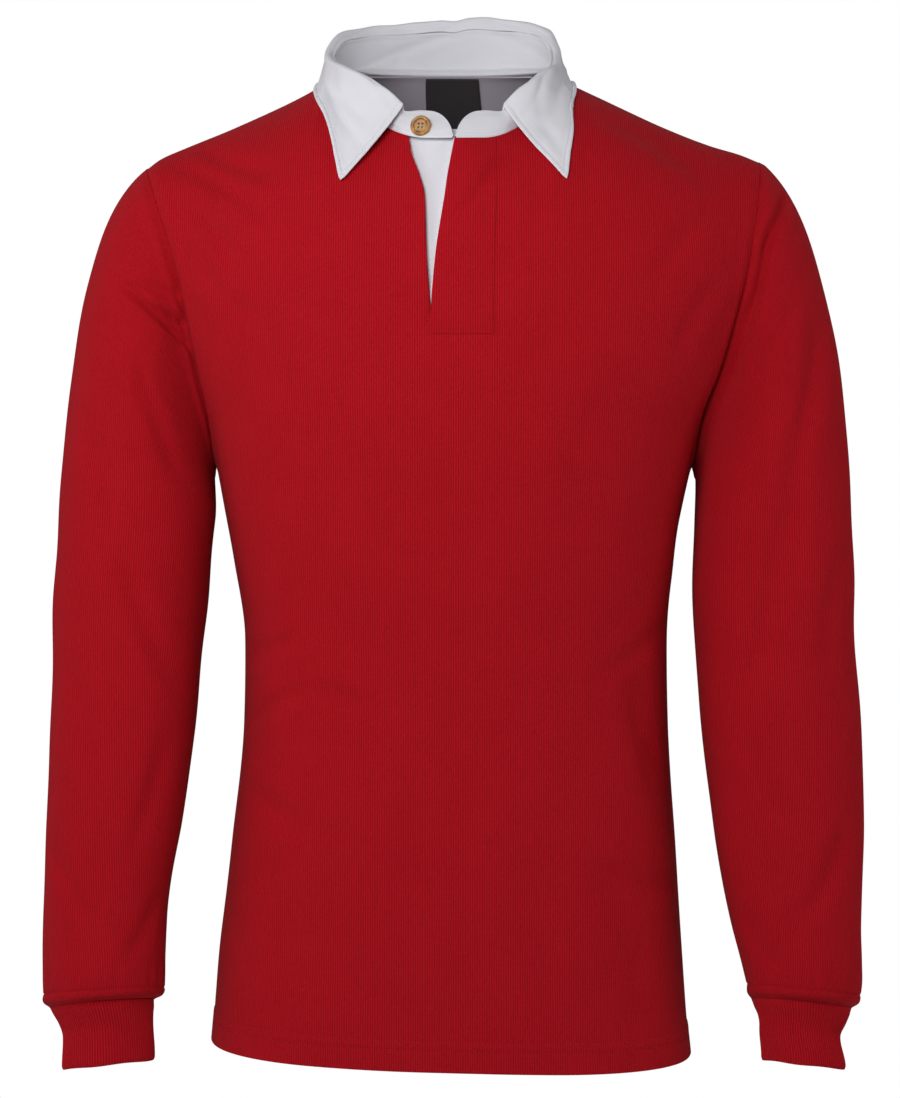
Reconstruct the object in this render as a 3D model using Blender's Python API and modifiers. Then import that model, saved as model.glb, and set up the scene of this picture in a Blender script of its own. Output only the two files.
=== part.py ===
"""A long-sleeved rugby shirt, filled out as it is worn, with no wearer in it.

Metres, +Z up, front towards -Y.  The origin is the middle of the neck base, where the
wearer's neck and shoulders hold the shirt up.  Right and left are the wearer's: right is -X.

A panel is a surface of two numbers.  `across` runs from -1 at the wearer's right edge to +1
at the left edge.  `level` is the height below the neck base up to the chest row; above it
the panel bends over the shoulder, and `level` 0 is its top edge.
"""

import math

import bmesh
import bpy
import numpy as np
from mathutils import Matrix, Vector
from mathutils.bvhtree import BVHTree

# Cloth walls and the room between them
KNIT = 0.0015
TWILL = 0.0013
LABEL_CLOTH = 0.0010
SEAM = 0.0006
LAYER = 0.0005
INNER_LAYER = 0.0007

# Levels of the body
HEM = -0.711
HEM_TILT = -0.030
UNDERARM = -0.285
CHEST = -0.160
HEM_STEPS = 6
BELOW_SLIT_STEPS = 5
SLIT_STEPS = 7
SLEEVE_COLUMNS = 2 * (BELOW_SLIT_STEPS + SLIT_STEPS)
EDGE_ROW = 0.02

# Neck ring: the seam line that the collar stand is sewn to
NECK_SHARE = 0.40
NECK_POINT_TURN = 80.0
NECK_HALF_WIDTH = 0.075
NECK_BACK = 0.066
NECK_FRONT = 0.090
NECK_HEIGHT = 0.001
NECK_DROP = 0.048
NECK_DROP_TURNS = (75.0, 165.0)
CENTRE_BACK_X = -0.005
CENTRE_FRONT_X = 0.001
COLLAR_STRAIGHT_TURNS = (90.0, 160.0)

# Slit of the placket and its strips
SLIT_FOOT = -0.1745
SLIT_TURN = 12.0
SLIT_X = -0.015
UNDERLAP_SIDES = (-0.022, 0.021)
FLY_FAR_SIDE = 0.043
FLY_FOOT = -0.188
FACING_FOOT = -0.165
STRIP_TOP = -0.0008
FLY_TOP = -0.0040
FACING_PEEK = 0.0012
FACING_WIDTH = 0.030

# Collar
FOLD_HALF_WIDTH = 0.085
FOLD_BACK = 0.069
FOLD_FRONT = 0.077
ROLL_RADIUS = 0.0032
STAND_ENDS = (-179.4, 178.4)
STAND_CORNER = 0.014
STAND_SEAT = 0.0010
LEAF_TURN = 155.0
SIDE_TURN = 60.0
LEAF_ROLL_ROWS = 6
LEAF_FALL_ROWS = 4
LEAF_CLEAR = 0.0024
LEAF_REACH = 0.03
SETTLE_ROUNDS = 12

# Neck facing, label and button
HALF_MOON_ACROSS = 0.30
HALF_MOON_DROP = 0.105
LABEL_HALF_WIDTH = 0.0205
LABEL_LEVELS = (-0.052, -0.0012)
LABEL_X = 0.0004
BUTTON_TURN = -163.5
BUTTON_SHARE = 0.36
BUTTON_RADIUS = 0.0075
BUTTON_THICK = 0.0030
BUTTON_SHANK = 0.0011
BUTTON_HOLE = 0.00085
BUTTON_HOLE_RING = 0.0019

# Sleeve head and cuff
HEAD_STEPS = 6
HEAD_START = 0.26
HEAD_END = 0.32
CUFF_LENGTH = 0.0435
CUFF_TILT = 0.0035


def table(names, rows):
    """A short table as one array per named column."""
    return dict(zip(names.split(), np.array(rows, dtype=float).T))


# Girth of the body: half widths at each side of the middle, depths of front and back, how
# far the armhole's front and back edges stand from the side seam, and how square the girth is
BODY = table(
    "level right left front back hole_front hole_back square",
    [
        (-0.720, 0.178, 0.176, 0.121, 0.113, 0.000, 0.000, 2.8),
        (-0.652, 0.172, 0.171, 0.118, 0.110, 0.000, 0.000, 2.6),
        (-0.562, 0.162, 0.165, 0.114, 0.105, 0.000, 0.000, 2.4),
        (-0.473, 0.153, 0.159, 0.111, 0.101, 0.000, 0.000, 2.3),
        (-0.413, 0.152, 0.158, 0.113, 0.103, 0.000, 0.000, 2.3),
        (-0.354, 0.160, 0.162, 0.119, 0.110, 0.000, 0.000, 2.3),
        (-0.285, 0.172, 0.175, 0.124, 0.118, 0.000, 0.000, 2.3),
        (-0.275, 0.174, 0.177, 0.125, 0.119, 0.016, 0.017, 2.3),
        (-0.250, 0.179, 0.183, 0.126, 0.121, 0.029, 0.031, 2.3),
        (-0.210, 0.192, 0.202, 0.126, 0.123, 0.043, 0.046, 2.3),
        (-0.160, 0.207, 0.221, 0.124, 0.124, 0.052, 0.056, 2.3),
    ],
)

# Shoulder seams from the neck point to the armhole
SHOULDER = table(
    "share x_right z_right x_left z_left y",
    [
        (0.00, 0.000, 0.001, 0.000, 0.001, 0.012),
        (0.20, 0.027, -0.0140, 0.031, -0.0130, 0.009),
        (0.55, 0.079, -0.0380, 0.085, -0.0370, 0.006),
        (0.78, 0.112, -0.0510, 0.121, -0.0500, 0.004),
        (1.00, 0.147, -0.065, 0.157, -0.0630, 0.002),
    ],
)

# Edges of the slit, as distances from the slit line
SLIT = table(
    "level right left",
    [
        (SLIT_FOOT, 0.0000, 0.0000),
        (-0.120, -0.0015, 0.0035),
        (-0.061, -0.0030, 0.0097),
        (-0.039, -0.0086, 0.0117),
        (-0.020, -0.0150, 0.0140),
        (0.000, -0.0180, 0.0165),
    ],
)

# Collar against the turn round the neck: height of the fold, how far up to it the stand
# goes, and the lower edge of the leaf
COLLAR = table(
    "turn fold seam edge_x edge_y edge_z",
    [
        (0.0, 0.0435, 0.78, 0.0000, 0.100, -0.0160),
        (30.0, 0.0430, 0.78, 0.0500, 0.092, -0.0150),
        (60.0, 0.0365, 0.78, 0.0850, 0.055, -0.0110),
        (85.0, 0.0210, 0.78, 0.0920, 0.004, -0.0100),
        (105.0, 0.0120, 0.78, 0.0905, -0.032, -0.0270),
        (130.0, 0.0010, 0.80, 0.0870, -0.066, -0.0500),
        (145.0, -0.0115, 0.81, 0.0835, -0.086, -0.0660),
        (155.0, -0.0225, 0.83, 0.0800, -0.100, -0.0775),
        (165.0, -0.0275, 1.00, 0.0760, -0.112, -0.0860),
        (180.0, -0.0285, 1.00, 0.0700, -0.130, -0.1000),
    ],
)

# Sleeves below the armhole: where the middle of the ring is, and its half width and depth
SLEEVE = table(
    "height mid_right half_right mid_left half_left forward depth",
    [
        (-0.6760, 0.2565, 0.0400, 0.2585, 0.0405, 0.047, 0.0405),
        (-0.6680, 0.2560, 0.0455, 0.2575, 0.0435, 0.047, 0.0460),
        (-0.6150, 0.2531, 0.0449, 0.2509, 0.0471, 0.040, 0.0480),
        (-0.5430, 0.2465, 0.0497, 0.2461, 0.0552, 0.030, 0.0540),
        (-0.4560, 0.2396, 0.0535, 0.2392, 0.0590, 0.019, 0.0600),
        (-0.3830, 0.2354, 0.0565, 0.2358, 0.0590, 0.010, 0.0640),
        (-0.3250, 0.2311, 0.0572, 0.2355, 0.0580, 0.004, 0.0660),
    ],
)

# Cuffs: share of the way down, middle and half width of the ring, and depth
CUFF = table(
    "share mid_right half_right mid_left half_left depth",
    [
        (0.00, 0.2565, 0.0400, 0.2585, 0.0405, 0.0405),
        (0.25, 0.2550, 0.0365, 0.2580, 0.0350, 0.0360),
        (0.50, 0.2528, 0.0338, 0.2555, 0.0305, 0.0335),
        (1.00, 0.2525, 0.0345, 0.2588, 0.0308, 0.0345),
    ],
)

COLOURS = {
    "rib_knit": ((0.40, 0.010, 0.018), 0.85),
    "white_twill": ((0.78, 0.80, 0.86), 0.80),
    "label_weave": ((0.020, 0.020, 0.022), 0.70),
    "button_resin": ((0.62, 0.36, 0.13), 0.30),
}


def read(rows, name, at):
    """Value of a column at a value of the first column, on a smooth curve through the rows.

    The curve never passes a row's value on its way to the next row.
    """
    keys = next(iter(rows.values()))
    values = rows[name]
    rates = np.diff(values) / np.diff(keys)
    before, after = rates[:-1], rates[1:]
    same_way = before * after > 0
    total = np.where(same_way, before + after, 1)
    inner = np.where(same_way, 2 * before * after / total, 0)
    slopes = np.concatenate([rates[:1], inner, rates[-1:]])
    at = np.clip(at, keys[0], keys[-1])
    i = np.clip(np.searchsorted(keys, at, side="right") - 1, 0, len(keys) - 2)
    step = keys[i + 1] - keys[i]
    t = (at - keys[i]) / step
    start = (1 + 2 * t) * (1 - t) ** 2 * values[i] + t * (1 - t) ** 2 * step * slopes[i]
    end = t**2 * (3 - 2 * t) * values[i + 1] - t**2 * (1 - t) * step * slopes[i + 1]
    return start + end


def stack(x, y, z):
    """Three coordinates, of any shapes that fit each other, as points."""
    return np.stack(np.broadcast_arrays(x, y, z), axis=-1)


def unit(vectors):
    """Vectors at length one."""
    return vectors / np.linalg.norm(vectors, axis=-1, keepdims=True)


def bezier(start, leave, arrive, end, t):
    """Cubic curve between two points with a handle at each."""
    t = np.asarray(t)[..., None]
    first = (1 - t) ** 3 * start + 3 * t * (1 - t) ** 2 * leave
    return first + 3 * t**2 * (1 - t) * arrive + t**3 * end


def smooth(low, high, at):
    """0 below low, 1 above high, and an S between them."""
    t = np.clip((at - low) / (high - low), 0, 1)
    return t * t * (3 - 2 * t)


def collar_middle(turn):
    """The collar's middle line, which is a little to one side except in front."""
    share = smooth(*COLLAR_STRAIGHT_TURNS, np.abs(turn))
    return CENTRE_BACK_X + (CENTRE_FRONT_X - CENTRE_BACK_X) * share


def turned(half_width, back, front, turn):
    """Plan of a ring round the neck; turn 0 is the middle of the back, +90 the left side."""
    angle = np.radians(turn)
    depth = np.where(np.cos(angle) > 0, back, front)
    return collar_middle(turn) + half_width * np.sin(angle), depth * np.cos(angle)


def neck_ring(turn):
    """Seam line between the body and the collar stand."""
    x, y = turned(NECK_HALF_WIDTH, NECK_BACK, NECK_FRONT, turn)
    fall = smooth(*NECK_DROP_TURNS, np.abs(turn))
    return stack(x, y, NECK_HEIGHT - NECK_DROP * fall)


def fold_ring(turn):
    """Line along the top of the collar, where the leaf turns over."""
    x, y = turned(FOLD_HALF_WIDTH, FOLD_BACK, FOLD_FRONT, turn)
    return stack(x, y, read(COLLAR, "fold", np.abs(turn)))


def section(face, across, level):
    """Point on the body below the chest row; face is -1 for the front and +1 for the back."""
    right, left = read(BODY, "right", level), read(BODY, "left", level)
    depth = read(BODY, "front" if face < 0 else "back", level)
    hole = read(BODY, "hole_front" if face < 0 else "hole_back", level)
    square = read(BODY, "square", level)
    end = (1 - (hole / depth) ** square) ** (1 / square)
    middle, half = (left - right) / 2, (left + right) / 2
    reach = np.sin(across * np.arcsin(end))
    if face < 0:
        reach = reach + (SLIT_X - middle) / half * (1 - across**2) ** 2
    bulge = np.clip(1 - np.abs(reach) ** square, 0, 1) ** (1 / square)
    y = face * (depth * bulge + SEAM / 2)
    return stack(middle + half * reach, y, level)


def neck_turn(face, across):
    """Turn round the neck ring at a place on a panel's neckline."""
    share = across / NECK_SHARE
    if face > 0:
        return NECK_POINT_TURN * share
    from_front = (180 - NECK_POINT_TURN) * share - SLIT_TURN * (1 - share**2)
    return np.where(from_front < 0, -180 - from_front, 180 - from_front)


def top_edge(face, across):
    """Neckline in the middle of a panel and shoulder seam at each side of it."""
    neck = neck_ring(neck_turn(face, np.clip(across, -NECK_SHARE, NECK_SHARE)))
    share = np.clip((np.abs(across) - NECK_SHARE) / (1 - NECK_SHARE), 0, 1)
    right, left = (
        stack(
            side * read(SHOULDER, "x_" + name, share) + neck[..., 0],
            read(SHOULDER, "y", share),
            read(SHOULDER, "z_" + name, share),
        )
        for side, name in ((-1, "right"), (1, "left"))
    )
    seam = np.where((across < 0)[..., None], right, left)
    return np.where((share > 0)[..., None], seam, neck) + (0, face * SEAM / 2, 0)


def top_slope(face, across):
    """Direction in which a panel leaves its top edge, downwards."""
    share = smooth(0.0, 1.15, np.abs(across) / NECK_SHARE)
    side = np.where(across < 0, -1.0, 1.0)
    out = 0.30 * share * smooth(0.0, 1.0, (1 - np.abs(across)) / (1 - NECK_SHARE))
    return unit(stack(side * out, face * (0.50 + 0.50 * share), -0.86 + 0.80 * share))


def yoke(face, across, share):
    """Point on a panel between the chest row and its top edge."""
    foot = section(face, across, CHEST)
    rise = unit(foot - section(face, across, CHEST - 0.012))
    top = top_edge(face, across)
    reach = 0.36 * np.linalg.norm(top - foot, axis=-1, keepdims=True)
    return bezier(
        foot, foot + reach * rise, top + reach * top_slope(face, across), top, share
    )


def panel(face, across, level):
    """Outer face of the front or the back panel."""
    across, level = np.broadcast_arrays(
        np.asarray(across, float), np.asarray(level, float)
    )
    low = section(face, across, np.minimum(level, CHEST))
    high = yoke(face, across, np.clip(1 - level / CHEST, 0, 1))
    points = np.where((level < CHEST)[..., None], low, high)
    tilt = HEM_TILT * smooth(UNDERARM, HEM, level) * points[..., 0]
    return points + stack(0, 0, tilt)


def panel_normal(face, across, level):
    """Outward direction at a place on a panel."""
    step = 0.004
    sideways = panel(face, across + step, level) - panel(face, across - step, level)
    upwards = panel(face, across, level + step / 4) - panel(
        face, across, level - step / 4
    )
    return unit(np.cross(sideways, upwards)) * -face


def column_value(face, number, side, level):
    """The across value of a panel's column at a level; the slit's edges stand in for its line."""
    columns = front_columns() if face < 0 else back_columns()
    edge = np.where(side < 0, slit_edge(-1, level), slit_edge(1, level))
    return np.where((face < 0) & (columns[number] == 0), edge, columns[number])


def facet(face, across, level):
    """Point of a panel's faceted wall, between its own columns and rows."""
    columns = front_columns() if face < 0 else back_columns()
    levels = panel_levels()
    c = np.clip(np.searchsorted(columns, across, side="right") - 1, 0, len(columns) - 2)
    r = np.clip(np.searchsorted(levels, level, side="right") - 1, 0, len(levels) - 2)
    side = np.where(c < np.argmin(np.abs(columns)), -1, 1)
    first, last = (column_value(face, c + i, side, level) for i in (0, 1))
    s = ((across - first) / (last - first))[..., None]
    t = ((level - levels[r]) / (levels[r + 1] - levels[r]))[..., None]
    low, high = (
        (1 - s) * panel(face, column_value(face, c, side, row), row)
        + s * panel(face, column_value(face, c + 1, side, row), row)
        for row in (levels[r], levels[r + 1])
    )
    return (1 - t) * low + t * high


def patch(face, sides, foot, top, out):
    """A piece that lies on a panel: the panel's own points within its outline, moved out.

    `sides` gives the across values of its edges at a level, and `foot` its lowest level at
    an across value.  Points outside the outline are brought to it.
    """
    columns = front_columns() if face < 0 else back_columns()
    level = np.clip(panel_levels()[:, None], foot(columns), top)
    right, left = sides(level)
    across = np.clip(columns, right, left)
    outward = panel_normal(face, across, np.minimum(level, -0.0011))
    return facet(face, across, level) + out * outward


def aside(face, level, distance):
    """The across value at a distance from the slit line or from the middle of the back."""
    level = np.asarray(level, float)
    span = panel(face, 0.02, level) - panel(face, -0.02, level)
    return distance / (span[..., 0] / 0.04)


def slit_edge(side, level):
    """The across value of the slit's right (-1) or left (+1) edge."""
    return aside(-1, level, read(SLIT, "right" if side < 0 else "left", level))


def shoulder_columns():
    """The across values from the armhole to the neck point, without the neck point."""
    return np.insert(np.linspace(-1, -NECK_SHARE, 6)[:-1], 1, EDGE_ROW - 1)


def armhole_levels():
    """The levels of the rows from the underarm to the top edge, one of them at the slit's foot."""
    low = np.linspace(UNDERARM, SLIT_FOOT, BELOW_SLIT_STEPS + 1)[:-1]
    return np.append(low, np.linspace(SLIT_FOOT, 0, SLIT_STEPS + 1))


def panel_levels():
    """The levels of a panel's rows, from the hem to the top edge."""
    low = np.linspace(HEM, UNDERARM, HEM_STEPS + 1)[:-1]
    return np.concatenate([low, armhole_levels()[:-1], [CHEST * EDGE_ROW, 0]])


def front_columns():
    """The across values of the front panel's columns; the middle one is the slit line."""
    side = shoulder_columns()
    neck = np.append(np.linspace(-NECK_SHARE, NECK_SHARE, 11), 0.3 * NECK_SHARE)
    return np.sort(np.concatenate([side, neck, -side]))


def back_columns():
    """The across values of the back panel's columns."""
    side = shoulder_columns()
    return np.concatenate([side, np.linspace(-NECK_SHARE, NECK_SHARE, 9), -side[::-1]])


def front_blocks():
    """The front panel as one block below the slit and one at each side of it."""
    columns, levels = front_columns(), panel_levels()[:, None]
    split = HEM_STEPS + BELOW_SLIT_STEPS
    low, high = levels[: split + 1], levels[split:]
    middle = int(np.argmin(np.abs(columns)))
    right = np.append(columns[:middle], 0)
    left = np.insert(columns[middle + 1 :], 0, 0)
    at_right = np.broadcast_to(right, (len(high), len(right))).copy()
    at_left = np.broadcast_to(left, (len(high), len(left))).copy()
    at_right[1:, -1] = slit_edge(-1, high[1:, 0])
    at_left[1:, 0] = slit_edge(1, high[1:, 0])
    return [panel(-1, columns, low), panel(-1, at_right, high), panel(-1, at_left, high)]


def underlap():
    """White strip behind the slit, one layer further in than the fly facing."""
    return patch(
        -1,
        lambda level: [aside(-1, level, distance) for distance in UNDERLAP_SIDES],
        lambda across: FLY_FOOT + 0 * across,
        STRIP_TOP,
        -(KNIT + TWILL + 2 * INNER_LAYER),
    )


def fly():
    """Strip of body cloth on the front, from the slit's left edge to its line of stitches."""
    return patch(
        -1,
        lambda level: [slit_edge(1, level), aside(-1, level, FLY_FAR_SIDE)],
        lambda across: FLY_FOOT + 0 * across,
        FLY_TOP,
        KNIT + LAYER,
    )


def fly_facing():
    """White strip behind the fly's edge; it stands out past the edge by a hair."""
    return patch(
        -1,
        lambda level: [
            slit_edge(1, level) + aside(-1, level, distance)
            for distance in (-FACING_PEEK, FACING_WIDTH)
        ],
        lambda across: FACING_FOOT + 0 * across,
        STRIP_TOP,
        -(KNIT + INNER_LAYER),
    )


def neck_facing():
    """Half-moon inside the back: from the neck seam down to a rounded foot."""
    return patch(
        1,
        lambda level: (-HALF_MOON_ACROSS + 0 * level, HALF_MOON_ACROSS + 0 * level),
        lambda across: -HALF_MOON_DROP
        * np.sqrt(np.clip(1 - (across / HALF_MOON_ACROSS) ** 2, 0.02, 1)),
        STRIP_TOP,
        -(KNIT + INNER_LAYER),
    )


def label():
    """Plain woven label that hangs from the neck seam over the half-moon."""
    middle = LABEL_X - CENTRE_BACK_X
    return patch(
        1,
        lambda level: [
            aside(1, level, middle + side * LABEL_HALF_WIDTH) for side in (-1, 1)
        ],
        lambda across: LABEL_LEVELS[0] + 0 * across,
        LABEL_LEVELS[1],
        -(KNIT + TWILL + 2 * INNER_LAYER),
    )


def collar_turns():
    """Turns of the stand's columns, at the same places as the panels' necklines."""
    sides = neck_turn(-1, front_columns()[6:-6])
    sides = sides[np.abs(sides) < LEAF_TURN - 4]
    back = neck_turn(1, back_columns()[7:-7])
    near = np.array([LEAF_TURN, 160.0, 165.0, 171.0, 176.0])
    turns = np.sort(np.concatenate([sides, back, -near, near, STAND_ENDS]))
    between = (turns[1:] + turns[:-1]) / 2
    curved = (np.abs(between) > SIDE_TURN) & (np.abs(between) < LEAF_TURN)
    return np.sort(np.concatenate([turns, between[curved]]))


def stand_surface(turn, share):
    """Outer face of the stand; share 0 is the neck seam and 1 the seam to the leaf."""
    foot = neck_ring(turn) + (0, 0, STAND_SEAT)
    up = read(COLLAR, "seam", np.abs(turn))[..., None]
    top = foot + up * (fold_ring(turn) - foot)
    bow = 0.0015 * 4 * share * (1 - share)
    outward = unit(fold_ring(turn) * (1, 1, 0) - (CENTRE_FRONT_X, 0, 0))
    share = np.asarray(share)[..., None]
    return foot + share * (top - foot) + np.asarray(bow)[..., None] * outward


def stand():
    """Collar stand with its two rounded ends."""
    turns = collar_turns()
    foot = neck_ring(turns)
    steps = np.linalg.norm(np.diff(foot, axis=0), axis=-1)
    along = np.concatenate([[0], np.cumsum(steps)])
    from_end = np.minimum(along, along[-1] - along)
    corner = np.clip(from_end / STAND_CORNER, 0, 1)
    height = np.clip(np.sqrt(1 - (1 - corner) ** 2), 0.12, 1)
    return stand_surface(turns, height * np.linspace(0, 1, 4)[:, None])


def leaf_turns():
    """Turns of the leaf's columns; the first and last are its front edges."""
    turns = collar_turns()
    return turns[np.abs(turns) <= LEAF_TURN]


def leaf():
    """Leaf: up the inside from the stand, over the roll, and down the outside."""
    turns = leaf_turns()
    fold = fold_ring(turns)
    foot = stand_surface(turns, 1.0)
    along = unit(np.gradient(fold, axis=0))
    rise = unit(fold - foot)
    out = unit(np.cross(along, rise)) * -1
    start = foot + rise * 2 * SEAM
    middle = fold - rise * ROLL_RADIUS + out * ROLL_RADIUS
    inner_top = middle - out * ROLL_RADIUS
    inside = start + (inner_top - start) * np.linspace(0, 1, 3)[:2, None, None]
    angle = np.radians(np.linspace(180, 0, LEAF_ROLL_ROWS - 2))[:, None, None]
    roll = middle + ROLL_RADIUS * (np.cos(angle) * out + np.sin(angle) * rise)
    edge = leaf_edge(turns)
    depth = np.linalg.norm(edge - roll[-1], axis=-1, keepdims=True)
    arrive = unit(unit(edge - roll[-1]) + 0.25 * out)
    share = np.linspace(0, 1, LEAF_FALL_ROWS + 1)[1:, None]
    fall = bezier(
        roll[-1],
        roll[-1] - 0.30 * depth * rise,
        edge - 0.35 * depth * arrive,
        edge,
        np.broadcast_to(share, (LEAF_FALL_ROWS, len(turns))),
    )
    return np.concatenate([inside, roll, fall])


def leaf_edge(turns):
    """Lower edge of the leaf."""
    turn = np.abs(turns)
    return stack(
        collar_middle(turns) + np.sign(turns) * read(COLLAR, "edge_x", turn),
        read(COLLAR, "edge_y", turn),
        read(COLLAR, "edge_z", turn),
    )


def sleeve_ring(side, around, height):
    """Ring of a sleeve; around 0 is its outer line, 0.25 the front, 0.5 the inner line."""
    name = "left" if side > 0 else "right"
    angle = 2 * np.pi * around
    mid, half = read(SLEEVE, "mid_" + name, height), read(SLEEVE, "half_" + name, height)
    x = side * (mid + half * np.cos(angle))
    y = -read(SLEEVE, "forward", height) - read(SLEEVE, "depth", height) * np.sin(angle)
    low = smooth(-0.60, -0.66, height) * CUFF_TILT
    return stack(x, y, height - low * np.cos(angle))


def armhole(side, around):
    """Armhole line: 0 is the shoulder point and 0.5 the underarm."""
    levels = armhole_levels()
    rise = np.abs(1 - 2 * around) * (len(levels) - 1)
    level = np.interp(rise, np.arange(len(levels)), levels)
    front_share = np.where(around < 0.5, 1.0, 0.0)
    front_share = np.where((around == 0) | (around == 0.5), 0.5, front_share)[..., None]
    front, back = panel(-1, side, level), panel(1, side, level)
    return front_share * front + (1 - front_share) * back


def sleeve_head(side, around, share):
    """Point on a sleeve between the armhole and its first whole ring."""
    angle = 2 * np.pi * around
    leave = unit(
        stack(
            side * (0.56 + 0.22 * np.cos(angle)),
            -0.30 * np.sin(angle),
            -0.75 + 0.13 * np.cos(angle),
        )
    )
    start = armhole(side, around) + 1.5 * SEAM * unit(leave + (side, 0, 0))
    top = SLEEVE["height"][-1]
    end = sleeve_ring(side, around, top)
    down = unit(sleeve_ring(side, around, top - 0.01) - end)
    reach = np.linalg.norm(end - start, axis=-1, keepdims=True)
    return bezier(
        start,
        start + HEAD_START * reach * leave,
        end - HEAD_END * reach * down,
        end,
        share,
    )


def sleeve(side):
    """A whole sleeve, from the armhole to its seam with the cuff."""
    around = np.arange(SLEEVE_COLUMNS) / SLEEVE_COLUMNS
    shares = np.insert(np.linspace(0, 1, HEAD_STEPS + 1), 1, EDGE_ROW)[:, None]
    head = sleeve_head(side, *np.broadcast_arrays(around, shares))
    arm = sleeve_ring(side, around, SLEEVE["height"][::-1][1:, None])
    return np.concatenate([head, arm])


def cuff(side):
    """Ribbed cuff: gathered in from the sleeve's end and a little wider again at its own end."""
    angle = 2 * np.pi * np.arange(SLEEVE_COLUMNS) / SLEEVE_COLUMNS
    name = "left" if side > 0 else "right"
    share = CUFF["share"][:, None]
    mid, half = CUFF["mid_" + name][:, None], CUFF["half_" + name][:, None]
    depth = CUFF["depth"][:, None]
    x = side * (mid + half * np.cos(angle))
    y = -read(SLEEVE, "forward", SLEEVE["height"][0]) - depth * np.sin(angle)
    z = SLEEVE["height"][0] - SEAM - CUFF_LENGTH * share - CUFF_TILT * np.cos(angle)
    return stack(x, y, z)


def grid_faces(rows, columns, first, wrap, flip):
    """Quads of a grid whose first vertex has the number `first`."""
    faces = []
    for r in range(rows - 1):
        for c in range(columns if wrap else columns - 1):
            a, b = r * columns + c, r * columns + (c + 1) % columns
            quad = [a, b, b + columns, a + columns]
            faces.append([first + i for i in (reversed(quad) if flip else quad)])
    return faces


def surface(name, blocks, wrap=False, flip=False):
    """Open mesh of one or more grids, joined where their edges meet."""
    vertices, faces = [], []
    for block in blocks:
        rows, columns = block.shape[:2]
        faces += grid_faces(rows, columns, len(vertices), wrap, flip)
        vertices += block.reshape(-1, 3).tolist()
    mesh = bpy.data.meshes.new(name)
    mesh.from_pydata(vertices, [], faces)
    shape = bmesh.new()
    shape.from_mesh(mesh)
    bmesh.ops.remove_doubles(shape, verts=shape.verts, dist=0.00001)
    shape.to_mesh(mesh)
    shape.free()
    return mesh


def material(name):
    """Principled material of one cloth or of the button."""
    colour, roughness = COLOURS[name]
    made = bpy.data.materials.new(name)
    made.use_nodes = True
    shader = made.node_tree.nodes["Principled BSDF"]
    shader.inputs["Base Color"].default_value = (*colour, 1)
    shader.inputs["Roughness"].default_value = roughness
    shader.inputs["Metallic"].default_value = 0.0
    return made


def add(collection, name, mesh, look):
    """Object of a mesh, in a collection, with a material of its own."""
    made = bpy.data.objects.new(name, mesh)
    collection.objects.link(made)
    mesh.materials.append(look)
    mesh.shade_smooth()
    return made


def wall(made, thickness):
    """Give an open surface its cloth, on the inner side."""
    solid = made.modifiers.new("Cloth", "SOLIDIFY")
    solid.thickness = thickness
    solid.offset = -1
    return made


def lifted(points, meshes, gap):
    """Points moved out to the gap wherever they lie closer than that to some meshes."""
    vertices, faces = [], []
    for mesh in meshes:
        first = len(vertices)
        vertices += [v.co for v in mesh.vertices]
        faces += [[first + i for i in face.vertices] for face in mesh.polygons]
    tree = BVHTree.FromPolygons(vertices, faces)
    moved = points.reshape(-1, 3).copy()
    for i, point in enumerate(moved):
        place, normal, _, away = tree.find_nearest(Vector(point))
        if (Vector(point) - place).dot(normal) < gap and away < LEAF_REACH:
            moved[i] = place + normal * gap
    return moved.reshape(points.shape)


def settled(points, meshes, gap):
    """Rows lifted a little at a time, each lift shared with the columns beside it."""
    for _ in range(SETTLE_ROUNDS):
        change = lifted(points, meshes, gap) - points
        beside = change[:, :-2] + change[:, 2:]
        change[:, 1:-1] = change[:, 1:-1] / 2 + beside / 4
        points = points + change
    return lifted(points, meshes, gap)


def button_profile():
    """Half outline of the button, from the middle of its face round to its back."""
    radius, half = BUTTON_RADIUS, BUTTON_THICK / 2
    return [
        (0.0, 0.40 * half),
        (0.60 * radius, 0.40 * half),
        (0.72 * radius, 0.95 * half),
        (0.88 * radius, half),
        (radius, 0.25 * half),
        (0.94 * radius, -0.60 * half),
        (0.70 * radius, -half),
        (0.0, -half),
    ]


def button(collection, cutters):
    """Turned four-hole button, set on the stand with its face forward."""
    outline = button_profile()
    mesh = bpy.data.meshes.new("collar_button")
    edges = [(i, i + 1) for i in range(len(outline) - 1)]
    mesh.from_pydata([(r, 0, z) for r, z in outline], edges, [])
    made = add(collection, "collar_button", mesh, material("button_resin"))
    screw = made.modifiers.new("Turn", "SCREW")
    screw.steps = screw.render_steps = 20
    screw.use_merge_vertices = True
    screw.merge_threshold = 0.00001
    drill = button_drill(cutters)
    cut = made.modifiers.new("Holes", "BOOLEAN")
    cut.operation = "DIFFERENCE"
    cut.object = drill
    seat = stand_surface(BUTTON_TURN, BUTTON_SHARE)
    facing = unit(stand_facing() + np.array((-0.10, -0.75, 0.0)))
    place = Vector(seat) + Vector(facing) * (BUTTON_THICK / 2 + BUTTON_SHANK)
    for piece in (made, drill):
        piece.rotation_euler = Vector(facing).to_track_quat("Z", "Y").to_euler()
        piece.location = place
    return made


def stand_facing():
    """Outward direction of the stand at the button."""
    along = stand_surface(BUTTON_TURN + 1, BUTTON_SHARE) - stand_surface(
        BUTTON_TURN - 1, BUTTON_SHARE
    )
    up = stand_surface(BUTTON_TURN, 0.5) - stand_surface(BUTTON_TURN, 0.2)
    return unit(np.cross(up, along))


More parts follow.
